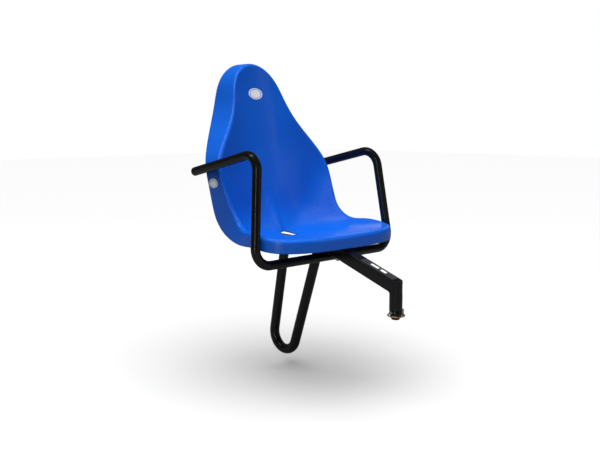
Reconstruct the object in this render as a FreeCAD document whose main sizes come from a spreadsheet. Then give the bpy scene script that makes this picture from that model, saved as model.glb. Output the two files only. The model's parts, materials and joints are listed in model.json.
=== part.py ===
"""Passenger seat that clips on behind a pedal go-kart.

Millimetres. The origin is on the axis of the round coupling post, level with the lowest point of the elbow
above it, where the rim of the kart's socket stops. +Z is up and the rider faces -Y, so the post is in front.
"""
import FreeCAD
import Part
import math
import os

from FreeCAD import Placement, Rotation, Vector

# Driving dimensions: name, value in mm (or degrees where the name ends in _angle), what it is.
SIZES = [
    ("hoop_diameter", 22, "round tube of the armrest hoop"),
    ("hoop_wall", 2, "wall of the hoop tube"),
    ("hoop_bend", 40, "centreline radius of the hoop's bends"),
    ("bar_y", 220, "cross bar of the hoop, behind the post"),
    ("bar_z", 58, "height of the cross bar's centreline"),
    ("bar_half", 229, "half the cross bar, corner to centre"),
    ("rest_half", 198, "half the distance between the armrests"),
    ("rest_rise", 258.6, "front corner of an armrest above the cross bar"),
    ("rest_lean", 26, "front corner of an armrest behind the cross bar"),
    ("rest_back", 246, "length of an armrest, front to back"),
    ("rest_drop", 55.4, "how far an armrest falls towards its rear end"),
    ("plug_tail", 18, "part of an armrest plug inside the tube"),
    ("plug_cap", 6, "rounded part of an armrest plug outside the tube"),
    ("arm_width", 30, "square tube of the arm and of the spine"),
    ("arm_wall", 2.5, "wall of the square tubes"),
    ("arm_angle", 18.1, "slope of the arm, down towards the front"),
    ("arm_front", 6, "vertical cut of the arm's front end, ahead of the post's axis"),
    ("arm_blank", 340, "arm's tube before its ends are cut"),
    ("arm_blank_front", 260, "front end of that tube ahead of the cross bar, along the slope"),
    ("arm_over_bar", 15.2, "arm's underside above the cross bar's centreline, square to the arm"),
    ("saddle_length", 24, "saddle between the cross bar and the arm, front to back"),
    ("end_plate", 3, "plate between the arm's rear end and the spine"),
    ("spine_front", 228, "front end of the spine"),
    ("spine_length", 182, "length of the spine"),
    ("spine_top", 94.5, "top of the spine"),
    ("post_diameter", 30, "coupling post"),
    ("post_wall", 3, "wall of the post tube"),
    ("post_foot", 36, "lower end of the post tube below the origin"),
    ("neck_diameter", 29.2, "the post above the origin, where the arm is welded round it"),
    ("cap_plate", 3, "plate that closes the post at the elbow"),
    ("collar_foot", 46.5, "lower end of the nose's collar below the origin"),
    ("collar_diameter", 29, "collar of the nose, which the pin passes through"),
    ("nose_tip", 58.5, "tip of the nose below the origin"),
    ("nose_tip_diameter", 17, "flat end of the nose"),
    ("nose_straight", 6, "straight part of the nose below its collar"),
    ("nose_diameter", 25, "straight part of the nose below its collar"),
    ("nose_tail", 24, "part of the nose inside the post tube"),
    ("pin_diameter", 8, "linch pin"),
    ("pin_drop", 40.5, "pin's axis below the origin"),
    ("pin_reach", 19, "tip of the pin past the post's axis"),
    ("running_gap", 0.05, "radial clearance of the moving fits"),
    ("head_gap", 0.5, "gap between the pin's head and the post"),
    ("head_thickness", 7, "pin's head along the pin"),
    ("head_width", 12, "pin's head across the pin"),
    ("head_above", 4, "top of the pin's head above the pin's axis"),
    ("head_round", 1.2, "rounded edges of the pin's head"),
    ("ring_wire", 3.5, "wire of the sprung ring"),
    ("ring_drop", 49, "plane of the closed ring below the origin"),
    ("ring_hinge", 19, "ring's hinge axis from the post's axis"),
    ("ring_bend", 3.5, "bend between the ring's arc and its straight ends"),
    ("ring_bend_angle", 25.5, "turn of that bend"),
    ("ring_end_gap", 0.6, "bend beyond the side of the pin's head"),
    ("ring_end_reach", 1.5, "tip of the ring's wire from the middle of the pin's head"),
    ("loop_diameter", 25, "round tube of the hanging loop"),
    ("loop_wall", 2, "wall of the loop tube"),
    ("loop_bend", 42, "centreline radius at the foot of the loop"),
    ("loop_front_y", 255.1, "front leg where it meets the spine"),
    ("loop_rear_y", 377.2, "rear leg where it meets the spine"),
    ("loop_front_angle", 18.6, "front leg's lean to the rear"),
    ("loop_rear_angle", 10.5, "rear leg's lean to the rear"),
    ("loop_spare", 20, "loop's legs before they are cut level, above the spine's underside"),
    ("plug_flange", 3, "spine plug's flange"),
    ("plug_depth", 14, "part of the spine plug inside the tube"),
    ("seat_wall", 4, "wall of the moulded seat"),
    ("seat_length", 634, "rim from the front lip to the top, along the seat"),
    ("front_lip_y", 146, "crest of the front lip"),
    ("front_lip_z", 121, "height of the crest of the front lip"),
    ("pan_run", 149, "straight part of the rim line, front to back"),
    ("corner_radius", 88, "rim line's curve from the pan to the back"),
    ("back_angle", 20, "recline of the back from upright"),
    ("drain_place", 195, "drain hole's centre along the rim line"),
    ("drain_diameter", 40, "drain hole"),
    ("drain_stretch", 1.4, "how much the bowl's curve lengthens the hole, front to back"),
    ("rim_radius", 10, "turned-over edge of the seat"),
    ("boss_diameter", 26, "moulded bosses under the seat's bolts"),
    ("bolt_diameter", 6, "seat bolts"),
    ("bolt_head", 13, "countersunk head of a seat bolt"),
    ("front_bolt_y", 185, "front seat bolt"),
    ("rear_bolt_y", 300, "rear seat bolts"),
    ("rear_bolt_x", 36, "rear seat bolts, each side of the middle"),
    ("plate_length", 110, "cross plate from side to side"),
    ("plate_width", 34, "cross plate from front to back"),
    ("plate_thickness", 3, "cross plate"),
    ("nut_flats", 10, "nut across its flats"),
    ("nut_height", 5, "nut"),
    ("washer_diameter", 18, "flat washers"),
    ("washer_thickness", 1.6, "flat washers"),
    ("head_sunk", 0.4, "a bolt head's top below the pan"),
    ("boss_root", 1, "how far a boss stops short of the middle of the seat's wall"),
    ("front_boss_foot", 64, "where the front boss is cut from, inside the arm"),
    ("bolt_spare", 2, "end of a bolt below its nut"),
    ("sticker", 0.5, "thickness of a sticker"),
    ("back_badge_z", 459, "height of the badge on the backrest"),
    ("back_badge_wide", 46, "badge on the backrest"),
    ("back_badge_high", 30, "badge on the backrest"),
    ("side_badge_y", 428, "badges on the skirt"),
    ("side_badge_z", 234, "badges on the skirt"),
    ("side_badge_wide", 36, "badges on the skirt"),
    ("side_badge_high", 24, "badges on the skirt"),
    ("label_length", 104, "label on top of the arm"),
    ("label_width", 24, "label on top of the arm"),
    ("label_start", 8, "label's front edge behind the arm's front end"),
]

# Seat outline seen square on, laid flat: half width, place along the rim line. It is the control
# polygon of a closed smooth curve, from the middle of the front lip to the middle of the top.
OUTLINE = [(0, 0), (70, 1), (130, 10), (177, 32), (200, 68), (197, 105), (186, 140), (170, 180), (163, 220),
           (168, 265), (179, 315), (179, 362), (144, 416), (106, 470), (84, 524),
           (74, 573), (47, 616), (0, 634)]
# Values at even steps along the rim line, front to top.
DISH = [4, 9.5, 9.5, 15, 16, 56, 57.5, 48, 43.5, 38, 35.5, 31.5, 30, 28, 34, 42]
WING = [0, 1, 6, 11, 5, 6, 4, 1, 0, 0, 0, 0, 0, 0, 0, 0]
SKIRT_TURN = [-90, -90, -90, -90, -48, -34, -24, -10, -2, 0, 0, 0, 0, 0, 0, 0]
SKIRT_DEPTH = [33, 33, 34, 34, 43, 71, 69, 57, 54, 60, 76, 89, 90, 82, 68, 46]
DISH_POWER = 3.5       # how flat the bowl's floor is
WING_POWER = 6         # how close the wings keep to the rim
# How far out each ring of the bowl lies, from the drain hole (0) to the rim (1).
BOWL_RINGS = [0, 0.12, 0.26, 0.4, 0.54, 0.67, 0.78, 0.87, 0.94, 1]
RIM_STEPS = 4          # rings round the turned-over edge
SKIRT_STEPS = 3        # rings down the skirt
NEAR_RIM = 0.985       # where the bowl's direction at the rim is measured
RINGS_PER_POINT = 3    # poles round the seat for each point of the outline

doc = FreeCAD.newDocument("passenger_seat")
sheet = doc.addObject("Spreadsheet::Sheet", "sizes")
for row, (alias, value, note) in enumerate(SIZES, start=1):
    sheet.set(f"A{row}", alias)
    sheet.set(f"B{row}", str(value))
    sheet.set(f"C{row}", note)
    sheet.setAlias(f"B{row}", alias)
doc.recompute()
size = {alias: float(sheet.get(alias)) for alias, _, _ in SIZES}

X_AXIS, Y_AXIS, Z_AXIS = Vector(1, 0, 0), Vector(0, 1, 0), Vector(0, 0, 1)
ARM_TURN = Rotation(X_AXIS, size["arm_angle"])
ALONG_X = Rotation(Y_AXIS, 90)
NODES = []


def make(kind, name, **bound):
    """Add one feature and bind its properties to expressions over the sheet."""
    feature = doc.addObject(kind, name)
    for prop, expression in bound.items():
        feature.setExpression(prop.replace("__", "."), expression)
    return feature


def place(feature, x="0", y="0", z="0", turn=None):
    """Bind a feature's place to the sheet, and turn it."""
    if turn is not None:
        feature.Placement = Placement(Vector(), turn)
    for letter, expression in zip("xyz", (x, y, z)):
        feature.setExpression(f"Placement.Base.{letter}", expression)
    return feature


def cut(name, base, *tools):
    """Cut each tool out of the base, one after another."""
    for number, tool in enumerate(tools):
        step = doc.addObject("Part::Cut", f"{name}_{number}")
        step.Base, step.Tool = base, tool
        base = step
    return base


def fuse(name, first, second):
    """Join two solids that touch."""
    joined = doc.addObject("Part::Fuse", name)
    joined.Base, joined.Tool = first, second
    return joined


def group(name, *pieces):
    """Keep separate solids together as one compound."""
    together = doc.addObject("Part::Compound", name)
    together.Links = list(pieces)
    return together


def node(feature, label):
    """Name a finished sub-part, which gets a STEP file of its own."""
    feature.Label = label
    NODES.append(feature)
    return feature


def cylinder(name, radius, height, x="0", y="0", z="0", turn=None):
    return place(make("Part::Cylinder", name, Radius=radius, Height=height), x, y, z, turn)


def box(name, length, width, height, x="0", y="0", z="0", turn=None):
    return place(make("Part::Box", name, Length=length, Width=width, Height=height), x, y, z, turn)


def sloped_box(name, length, width, height, corner):
    """A box that lies along the arm, from one given corner."""
    block = make("Part::Box", name, Length=length, Width=width, Height=height)
    block.Placement = Placement(corner, ARM_TURN)
    return block


def bent_path(corners, radius):
    """A wire of straight runs through the corners, with an arc of one radius at each inner corner."""
    edges = []
    start = corners[0]
    for before, corner, after in zip(corners, corners[1:], corners[2:]):
        back = (before - corner).normalize()
        ahead = (after - corner).normalize()
        half = back.getAngle(ahead) / 2
        inward = (back + ahead).normalize()
        enter = corner + back * (radius / math.tan(half))
        leave = corner + ahead * (radius / math.tan(half))
        middle = corner + inward * (radius / math.sin(half) - radius)
        edges.append(Part.LineSegment(start, enter).toShape())
        edges.append(Part.Arc(enter, middle, leave).toShape())
        start = leave
    edges.append(Part.LineSegment(start, corners[-1]).toShape())
    return Part.Wire(edges)


def swept(name, path, heading, radius):
    """Sweep a circle, whose radius is bound to the sheet, along a path from its first point."""
    profile = make("Part::Circle", f"{name}_profile", Radius=radius)
    start = path.Shape.Edges[0].firstVertex().Point
    profile.Placement = Placement(start, Rotation(Z_AXIS, heading))
    sweep = doc.addObject("Part::Sweep", name)
    sweep.Sections = [profile]
    sweep.Spine = (path, [f"Edge{i + 1}" for i in range(len(path.Shape.Edges))])
    sweep.Solid = True
    return sweep


def path_feature(name, wire):
    feature = doc.addObject("Part::Feature", name)
    feature.Shape = wire
    return feature


def bent_tube(name, corners, bend, diameter, wall):
    """A round tube that follows the corners: an outer sweep less an inner one."""
    path = path_feature(f"{name}_path", bent_path(corners, bend))
    heading = corners[1] - corners[0]
    outer = swept(f"{name}_outer", path, heading, f"sizes.{diameter} / 2")
    inner = swept(f"{name}_inner", path, heading, f"sizes.{diameter} / 2 - sizes.{wall}")
    return cut(name, outer, inner)


def armrest_hoop():
    """One tube: left armrest, upright, cross bar, upright, right armrest."""
    y, z = size["bar_y"], size["bar_z"]
    front_y, front_z = y + size["rest_lean"], z + size["rest_rise"]
    right = [Vector(size["bar_half"], y, z),
             Vector(size["rest_half"], front_y, front_z),
             Vector(size["rest_half"], front_y + size["rest_back"], front_z - size["rest_drop"])]
    left = [Vector(-corner.x, corner.y, corner.z) for corner in reversed(right)]
    node(bent_tube("hoop", left + right, size["hoop_bend"], "hoop_diameter", "hoop_wall"), "armrest_hoop")


def armrest_plug(side, label):
    """Rounded plastic plug: a tail inside the tube and a domed cap outside it."""
    heading = Vector(0, size["rest_back"], -size["rest_drop"])
    turn = Rotation(Z_AXIS, heading)
    x = f"{side} * sizes.rest_half"
    y = "sizes.bar_y + sizes.rest_lean + sizes.rest_back"
    z = "sizes.bar_z + sizes.rest_rise - sizes.rest_drop"
    cap = cylinder(f"{label}_cap", "sizes.hoop_diameter / 2", "sizes.plug_cap", x, y, z, turn)
    doc.recompute()
    dome = doc.addObject("Part::Fillet", f"{label}_dome")
    dome.Base = cap
    rear_circle = max(range(3), key=lambda number: cap.Shape.Edges[number].CenterOfMass.dot(heading))
    dome.Edges = [(rear_circle + 1, size["plug_cap"] - 1, size["plug_cap"] - 1)]
    backwards = turn.multiply(Rotation(X_AXIS, 180))
    tail = cylinder(f"{label}_tail", "sizes.hoop_diameter / 2 - sizes.hoop_wall", "sizes.plug_tail", x, y, z,
                    backwards)
    node(fuse(f"{label}_solid", dome, tail), label)


def arm_height(y):
    """Height of the middle of the arm's underside at a given y."""
    slope = math.radians(size["arm_angle"])
    return size["bar_z"] + size["arm_over_bar"] / math.cos(slope) + (y - size["bar_y"]) * math.tan(slope)


def arm_block(name, low, high):
    """A wide block on the arm's slope, between two heights square to the arm's underside."""
    corner = Vector(-50, -300, arm_height(-300)) + ARM_TURN.multVec(Z_AXIS) * low
    return sloped_box(name, "100", "600", str(high - low), corner)


def cross_bar(name):
    """The cross bar's outer shape, to fit other pieces round it."""
    return cylinder(name, "sizes.hoop_diameter / 2", "100", "-50", "sizes.bar_y", "sizes.bar_z", ALONG_X)


def drawbar_arm():
    """Square tube on the slope, cut upright at both ends, with a saddle between it and the cross bar."""
    slope = math.radians(size["arm_angle"])
    start_y = size["bar_y"] - size["arm_blank_front"] * math.cos(slope)
    start = Vector(0, start_y, arm_height(start_y))

    outside, inside = "sizes.arm_width", "sizes.arm_width - 2 * sizes.arm_wall"
    corner = start - X_AXIS * (size["arm_width"] / 2)
    inset = (X_AXIS + ARM_TURN.multVec(Z_AXIS)) * size["arm_wall"]
    tube = cut("arm_tube", sloped_box("arm_outer", outside, "sizes.arm_blank", outside, corner),
               sloped_box("arm_inner", inside, "sizes.arm_blank", inside, corner + inset))
    front = box("arm_front_cut", "100", "200", "300", "-50", "-sizes.arm_front - 200", "-150")
    rear = box("arm_rear_cut", "100", "200", "300", "-50", "sizes.spine_front - sizes.end_plate", "-50")
    hole = cylinder("arm_bolt_hole", "sizes.bolt_diameter / 2", "200", "0", "sizes.front_bolt_y", "-50")
    node(cut("arm", tube, front, rear, hole), "drawbar_arm")
    saddle_y = "sizes.spine_front - sizes.end_plate - sizes.saddle_length"
    block = box("saddle_block", "sizes.arm_width", "sizes.saddle_length", "sizes.arm_width",
                "-sizes.arm_width / 2", saddle_y, "sizes.bar_z")
    node(cut("saddle", block, cross_bar("saddle_bar"), arm_block("saddle_arm", 0, 200)), "hoop_saddle")


def arm_end_plate():
    """Plate welded over the arm's rear end, against the front of the spine."""
    y = size["spine_front"] - size["end_plate"]
    height = size["arm_width"] / math.cos(math.radians(size["arm_angle"]))
    plate = box("end_plate", "sizes.arm_width", "sizes.end_plate", str(round(height, 3)),
                "-sizes.arm_width / 2", "sizes.spine_front - sizes.end_plate", str(round(arm_height(y), 3)))
    node(plate, "arm_end_plate")


def spine():
    """Level square tube under the pan, its rear end closed by a plastic plug."""
    corner = ("-sizes.arm_width / 2", "sizes.spine_front", "sizes.spine_top - sizes.arm_width")
    outer = box("spine_outer", "sizes.arm_width", "sizes.spine_length", "sizes.arm_width", *corner)
    hollow = "sizes.arm_width - 2 * sizes.arm_wall"
    inner = box("spine_inner", hollow, "sizes.spine_length", hollow,
                *[part if letter == 1 else f"{part} + sizes.arm_wall" for letter, part in enumerate(corner)])
    node(cut("spine", outer, inner, cross_bar("spine_notch")), "spine_tube")
    end = "sizes.spine_front + sizes.spine_length"
    cap = box("spine_cap", "sizes.arm_width", "sizes.plug_flange", "sizes.arm_width", corner[0], end,
              corner[2])
    tail = box("spine_tail", hollow, "sizes.plug_depth", hollow, f"{corner[0]} + sizes.arm_wall",
               f"{end} - sizes.plug_depth", f"{corner[2]} + sizes.arm_wall")
    node(fuse("spine_plug", cap, tail), "spine_end_plug")


def seat_cross_plate():
    """Flat bar across the spine that takes the two rear bolts."""
    plate = box("plate", "sizes.plate_length", "sizes.plate_width", "sizes.plate_thickness",
                "-sizes.plate_length / 2", "sizes.rear_bolt_y - sizes.plate_width / 2", "sizes.spine_top")
    holes = []
    for side, name in ((-1, "left"), (1, "right")):
        holes.append(cylinder(f"plate_hole_{name}", "sizes.bolt_diameter / 2", "20",
                              f"{side} * sizes.rear_bolt_x", "sizes.rear_bolt_y", "sizes.spine_top - 5"))
    node(cut("cross_plate", plate, *holes), "seat_cross_plate")


def coupling_post():
    """Round tube, fitted under the arm and round its front end, with a plate in line with the arm's top."""
    neck = "sizes.neck_diameter / 2"
    fitted = cylinder("post_fitted", "sizes.post_diameter / 2", "sizes.post_foot", z="-sizes.post_foot")
    upper = cylinder("post_neck", neck, "60")
    inner = cylinder("post_inner", "sizes.post_diameter / 2 - sizes.post_wall", "sizes.post_foot + 60",
                     z="-sizes.post_foot")
    arm_end = doc.addObject("Part::Cut", "post_arm_end")
    top = size["arm_width"]
    arm_end.Base = arm_block("post_arm_block", 0, top)
    arm_end.Tool = box("post_arm_front", "100", "300", "400", "-50", "-sizes.arm_front - 300", "-200")
    above = arm_block("post_above", top, top + 200)
    under_cap = arm_block("post_under_cap", top - size["cap_plate"], top + 200)
    node(cut("post", fuse("post_blank", fitted, upper), inner, arm_end, under_cap), "coupling_post")
    slab = doc.addObject("Part::Common", "cap_slab")
    slab.Base, slab.Tool = cylinder("cap_round", neck, "60"), under_cap
    node(cut("post_lid", slab, above, arm_end), "post_cap")


def post_nose():
    """Solid nose in the foot of the post: a tail in the tube, a collar round the pin and a taper."""
    radius = "sizes.post_diameter / 2 - sizes.post_wall"
    foot = "sizes.collar_foot + sizes.nose_straight"
    body = cylinder("nose_body", radius, f"sizes.nose_tail - sizes.post_foot + {foot}", z=f"-({foot})")
    collar = cylinder("nose_collar", "sizes.collar_diameter / 2", "sizes.collar_foot - sizes.post_foot",
                      z="-sizes.collar_foot")
    wide = "sizes.nose_diameter / 2"
    shoulder = cylinder("nose_shoulder", wide, "sizes.nose_straight", z=f"-({foot})")
    cone = make("Part::Cone", "nose_cone", Radius1="sizes.nose_tip_diameter / 2", Radius2=wide,
                Height=f"sizes.nose_tip - ({foot})")
    place(cone, z="-sizes.nose_tip")
    bore = cylinder("nose_pin_hole", "sizes.pin_diameter / 2 + sizes.running_gap", "60", "-30",
                    z="-sizes.pin_drop", turn=ALONG_X)
    blank = fuse("nose_blank", fuse("nose_shaft", fuse("nose_core", body, collar), shoulder), cone)
    node(cut("nose", blank, bore), "post_nose")


def linch_pin():
    """Pin across the post with a flat head, which the ring is hinged in."""
    head_x = "sizes.post_diameter / 2 + sizes.head_gap"
    shaft = cylinder("pin_shaft", "sizes.pin_diameter / 2", f"sizes.pin_reach + {head_x} + 1",
                     "-sizes.pin_reach", z="-sizes.pin_drop", turn=ALONG_X)
    head = box("pin_head", "sizes.head_thickness", "sizes.head_width",
               "sizes.head_above + sizes.ring_drop - sizes.pin_drop + sizes.ring_wire",
               head_x, "-sizes.head_width / 2", "-sizes.ring_drop - sizes.ring_wire")
    doc.recompute()
    soft = doc.addObject("Part::Fillet", "pin_head_rounded")
    soft.Base = head
    rounding = size["head_round"]
    soft.Edges = [(number, rounding, rounding) for number in range(1, len(head.Shape.Edges) + 1)]
    eye = cylinder("pin_eye", "sizes.ring_wire / 2 + sizes.running_gap", "40", "sizes.ring_hinge", "20",
                   "-sizes.ring_drop", Rotation(X_AXIS, 90))
    node(cut("pin", fuse("pin_blank", soft, shaft), eye), "linch_pin")


def linch_ring():
    """Sprung wire ring: two straight ends in the pin's head and a large arc round the post's foot."""
    small, turn = size["ring_bend"], math.radians(size["ring_bend_angle"])
    end = size["head_width"] / 2 + size["ring_end_gap"]
    hinge, z = size["ring_hinge"], -size["ring_drop"]
    centre_small = Vector(hinge - small, end, z)
    meet = centre_small + Vector(math.cos(turn), math.sin(turn), 0) * small
    radius = meet.y / math.sin(turn)
    centre = Vector(meet.x - radius * math.cos(turn), 0, z)
    far = centre - X_AXIS * radius
    half = turn / 2
    bend = centre_small + Vector(math.cos(half), math.sin(half), 0) * small

    def other_side(point):
        return Vector(point.x, -point.y, point.z)

    start = Vector(hinge, size["ring_end_reach"], z)
    wire = Part.Wire([
        Part.LineSegment(start, Vector(hinge, end, z)).toShape(),
        Part.Arc(Vector(hinge, end, z), bend, meet).toShape(),
        Part.Arc(meet, far, other_side(meet)).toShape(),
        Part.Arc(other_side(meet), other_side(bend), Vector(hinge, -end, z)).toShape(),
        Part.LineSegment(Vector(hinge, -end, z), other_side(start)).toShape()])
    path = path_feature("ring_path", wire)
    node(swept("ring", path, Y_AXIS, "sizes.ring_wire / 2"), "linch_ring")


def support_loop():
    """U-shaped tube in the middle plane, its legs cut off level under the spine."""
    base = size["spine_top"] - size["arm_width"]
    front, rear = math.radians(size["loop_front_angle"]), math.radians(size["loop_rear_angle"])
    reach = size["loop_spare"]
    spread = size["loop_rear_y"] - size["loop_front_y"]
    drop = spread / (math.tan(front) - math.tan(rear))
    apex = Vector(0, size["loop_front_y"] + drop * math.tan(front), base - drop)
    top_front = Vector(0, size["loop_front_y"] - reach * math.tan(front), base + reach)
    top_rear = Vector(0, size["loop_rear_y"] - reach * math.tan(rear), base + reach)
    tube = bent_tube("loop", [top_front, apex, top_rear], size["loop_bend"], "loop_diameter", "loop_wall")
    above = box("loop_trim", "100", "400", "100", "-50", "sizes.bar_y - 100",
                "sizes.spine_top - sizes.arm_width")
    node(cut("loop_trimmed", tube, above), "support_loop")


def smooth(values, where):
    """Cubic B-spline over evenly spaced control values; where runs from 0 to 1."""
    last = len(values) - 1
    place_on = min(max(where, 0), 1) * last
    first = min(int(place_on), last - 1)
    part = place_on - first
    picked = [values[min(max(first + step, 0), last)] for step in (-1, 0, 1, 2)]
    weights = ((1 - part) ** 3, 3 * part ** 3 - 6 * part ** 2 + 4,
               -3 * part ** 3 + 3 * part ** 2 + 3 * part + 1, part ** 3)
    return sum(value * weight for value, weight in zip(picked, weights)) / 6


def outline_point(turn):
    """Point of the closed outline, as across and along; turn runs from 0 to 1 once round."""
    left = [(-across, along) for across, along in OUTLINE[-2:0:-1]]
    ring = OUTLINE + left
    first = int(turn * len(ring)) % len(ring)
    part = turn * len(ring) - int(turn * len(ring))
    picked = [ring[(first + step) % len(ring)] for step in (-1, 0, 1, 2)]
    weights = ((1 - part) ** 3 / 6, (3 * part ** 3 - 6 * part ** 2 + 4) / 6,
               (-3 * part ** 3 + 3 * part ** 2 + 3 * part + 1) / 6, part ** 3 / 6)
    return [sum(point[k] * weight for point, weight in zip(picked, weights)) for k in (0, 1)]


def rim_line(along):
    """Side view of the rim: a level run, an arc, then the reclined back. Gives y, z and the slope angle."""
    run, radius = size["pan_run"], size["corner_radius"]
    full = math.radians(90 - size["back_angle"])
    y, z = size["front_lip_y"], size["front_lip_z"]
    if along <= run:
        return y + along, z, 0.0
    angle = min((along - run) / radius, full)
    rest = along - run - angle * radius
    return (y + run + radius * math.sin(angle) + rest * math.cos(angle),
            z + radius * (1 - math.cos(angle)) + rest * math.sin(angle), angle)


def bowl_point(turn, out):
    """Inside of the seat: out is 0 at the drain hole and 1 at the rim."""
    across, along = outline_point(turn)
    along -= size["drain_place"]
    reach = math.hypot(across, along)
    hole = size["drain_diameter"] / 2 * reach / math.hypot(across, along * size["drain_stretch"])
    radius = hole + (reach - hole) * out
    share = radius / reach
    across, along = across * share, along * share + size["drain_place"]
    where = along / size["seat_length"]
    sink = smooth(DISH, where) * (1 - share ** DISH_POWER) - smooth(WING, where) * share ** WING_POWER
    y, z, angle = rim_line(along)
    return Vector(across, y + sink * math.sin(angle), z - sink * math.cos(angle))


def ring_profile(turn):
    """Points from the drain hole over the rim and down the skirt, at one place round the seat."""
    points = [bowl_point(turn, out) for out in BOWL_RINGS]
    rim = points[-1]
    outward = (rim - bowl_point(turn, NEAR_RIM)).normalize()
    where = outline_point(turn)[1] / size["seat_length"]
    fall = math.radians(smooth(SKIRT_TURN, where))
    down = Vector(0, math.cos(fall), math.sin(fall))
    bend = outward.getAngle(down)
    inward = (down - outward * outward.dot(down)).normalize()
    radius = size["rim_radius"]
    for step in range(1, RIM_STEPS + 1):
        angle = bend * step / RIM_STEPS
        points.append(rim + outward * (radius * math.sin(angle)) + inward * (radius * (1 - math.cos(angle))))
    straight = smooth(SKIRT_DEPTH, where) - radius
    shoulder = points[-1]
    for step in range(1, SKIRT_STEPS + 1):
        points.append(shoulder + down * (straight * step / SKIRT_STEPS))
    return points


def offset_grid(grid, depth):
    """Move each point of a closed grid along the surface's own normal, to the underside."""
    rounds, rings = len(grid), len(grid[0])
    moved = []
    for i in range(rounds):
        row = []
        for j in range(rings):
            around = grid[(i + 1) % rounds][j] - grid[i - 1][j]
            outward = grid[i][min(j + 1, rings - 1)] - grid[i][max(j - 1, 0)]
            row.append(grid[i][j] + around.cross(outward).normalize() * depth)
        moved.append(row)
    return moved


def closed_surface(grid, degree):
    """B-spline surface over a grid of poles: closed one way, open with its ends on the poles the other."""
    rounds, rings = len(grid), len(grid[0])
    inner = rings - degree - 1
    across_knots = list(range(inner + 2))
    across_mults = [degree + 1] + [1] * inner + [degree + 1]
    surface = Part.BSplineSurface()
    surface.buildFromPolesMultsKnots(grid, [1] * (rounds + 1), across_mults, list(range(rounds + 1)),
                                     across_knots, True, False, 3, degree)
    return surface.toShape()


def moulding(above, below):
    """Solid between two offsets of the seat's top surface, with the two edges between them."""
    rounds = RINGS_PER_POINT * (2 * len(OUTLINE) - 2)
    grid = [ring_profile(i / rounds) for i in range(rounds)]
    top, under = offset_grid(grid, above), offset_grid(grid, below)
    hole_edge = [[upper[0], lower[0]] for upper, lower in zip(top, under)]
    skirt_edge = [[upper[-1], lower[-1]] for upper, lower in zip(top, under)]
    faces = [closed_surface(top, 3), closed_surface(under, 3), closed_surface(hole_edge, 1),
             closed_surface(skirt_edge, 1)]
    shell = Part.Shell(faces)
    shell.sewShape()
    solid = Part.Solid(shell)
    if solid.Volume < 0:
        solid.reverse()
    return solid


def pan_height(x, y):
    """Height of the seat's top surface above a point of the pan."""
    line = Part.makeLine(Vector(x, y, -50), Vector(x, y, 300))
    return max(vertex.Z for vertex in line.common(SHELL).Vertexes)


def bolt_places():
    yield "front", 0, size["front_bolt_y"]
    yield "left", -size["rear_bolt_x"], size["rear_bolt_y"]
    yield "right", size["rear_bolt_x"], size["rear_bolt_y"]


def head_place(x, y):
    """Height of the top of a bolt's head, and the depth of its countersink."""
    return pan_height(x, y) - size["head_sunk"], (size["bolt_head"] - size["bolt_diameter"]) / 2


def moulded_seat():
    """The shell with its three bosses, each with a countersunk bolt hole."""
    seat = SHELL
    for name, x, y in bolt_places():
        root = pan_height(x, y) - size["seat_wall"] / 2 - size["boss_root"]
        foot = size["spine_top"] + size["plate_thickness"]
        if name == "front":
            foot = size["front_boss_foot"]
        boss = Part.makeCylinder(size["boss_diameter"] / 2, root - foot, Vector(x, y, foot))
        if name == "front":
            doc.recompute()
            boss = boss.common(ABOVE_ARM.Shape)
        seat = seat.fuse(boss)
    for name, x, y in bolt_places():
        top, sink = head_place(x, y)
        shank, head = size["bolt_diameter"] / 2, size["bolt_head"] / 2
        hole = Part.makeCylinder(shank, 60, Vector(x, y, top - 50))
        cone = Part.makeCone(shank, head, sink, Vector(x, y, top - sink))
        mouth = Part.makeCylinder(head, 6, Vector(x, y, top))
        seat = seat.cut(hole).cut(cone).cut(mouth)
    feature = doc.addObject("Part::Feature", "seat")
    feature.Shape = seat.Solids[0] if len(seat.Solids) == 1 else seat
    return node(feature, "seat_shell")


def seat_bolt(name, x, y, foot):
    """Countersunk bolt with its head flush in the pan and its end at a given height."""
    top, sink = head_place(x, y)
    head = make("Part::Cone", f"{name}_head", Radius1="sizes.bolt_diameter / 2",
                Radius2="sizes.bolt_head / 2", Height="(sizes.bolt_head - sizes.bolt_diameter) / 2")
    place(head, str(x), str(y), str(round(top - sink, 4)))
    shank = cylinder(f"{name}_shank", "sizes.bolt_diameter / 2", str(round(top - sink - foot, 4)),
                     str(x), str(y), str(round(foot, 4)))
    return fuse(name, head, shank)


def nut(name, x, y, top):
    """Hexagon nut whose upper face is at a given height."""
    hexagon = make("Part::Prism", f"{name}_hexagon", Circumradius="sizes.nut_flats / sqrt(3)",
                   Height="sizes.nut_height")
    place(hexagon, str(x), str(y), f"{round(top, 4)} - sizes.nut_height")
    hole = cylinder(f"{name}_thread", "sizes.bolt_diameter / 2", "30", str(x), str(y),
                    str(round(top - 20, 4)))
    return cut(name, hexagon, hole)


def front_fixing():
    """Bolt through the arm, with a tapered washer under the arm so that its nut sits square."""
    x, y = 0, size["front_bolt_y"]
    reach = size["washer_diameter"] / 2
    low = arm_height(y - reach) - size["washer_thickness"]
    washer_round = cylinder("bevel_round", "sizes.washer_diameter / 2", "30", "0", "sizes.front_bolt_y",
                            str(round(low, 4)))
    hole = cylinder("bevel_hole", "sizes.bolt_diameter / 2", "60", "0", "sizes.front_bolt_y",
                    str(round(low - 10, 4)))
    above = arm_block("bevel_above", 0, 200)
    node(cut("bevel", washer_round, hole, above), "front_bevel_washer")
    node(nut("front_nut", x, y, low), "front_seat_nut")
    node(seat_bolt("front_bolt", x, y, low - size["nut_height"] - size["bolt_spare"]), "front_seat_bolt")


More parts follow.
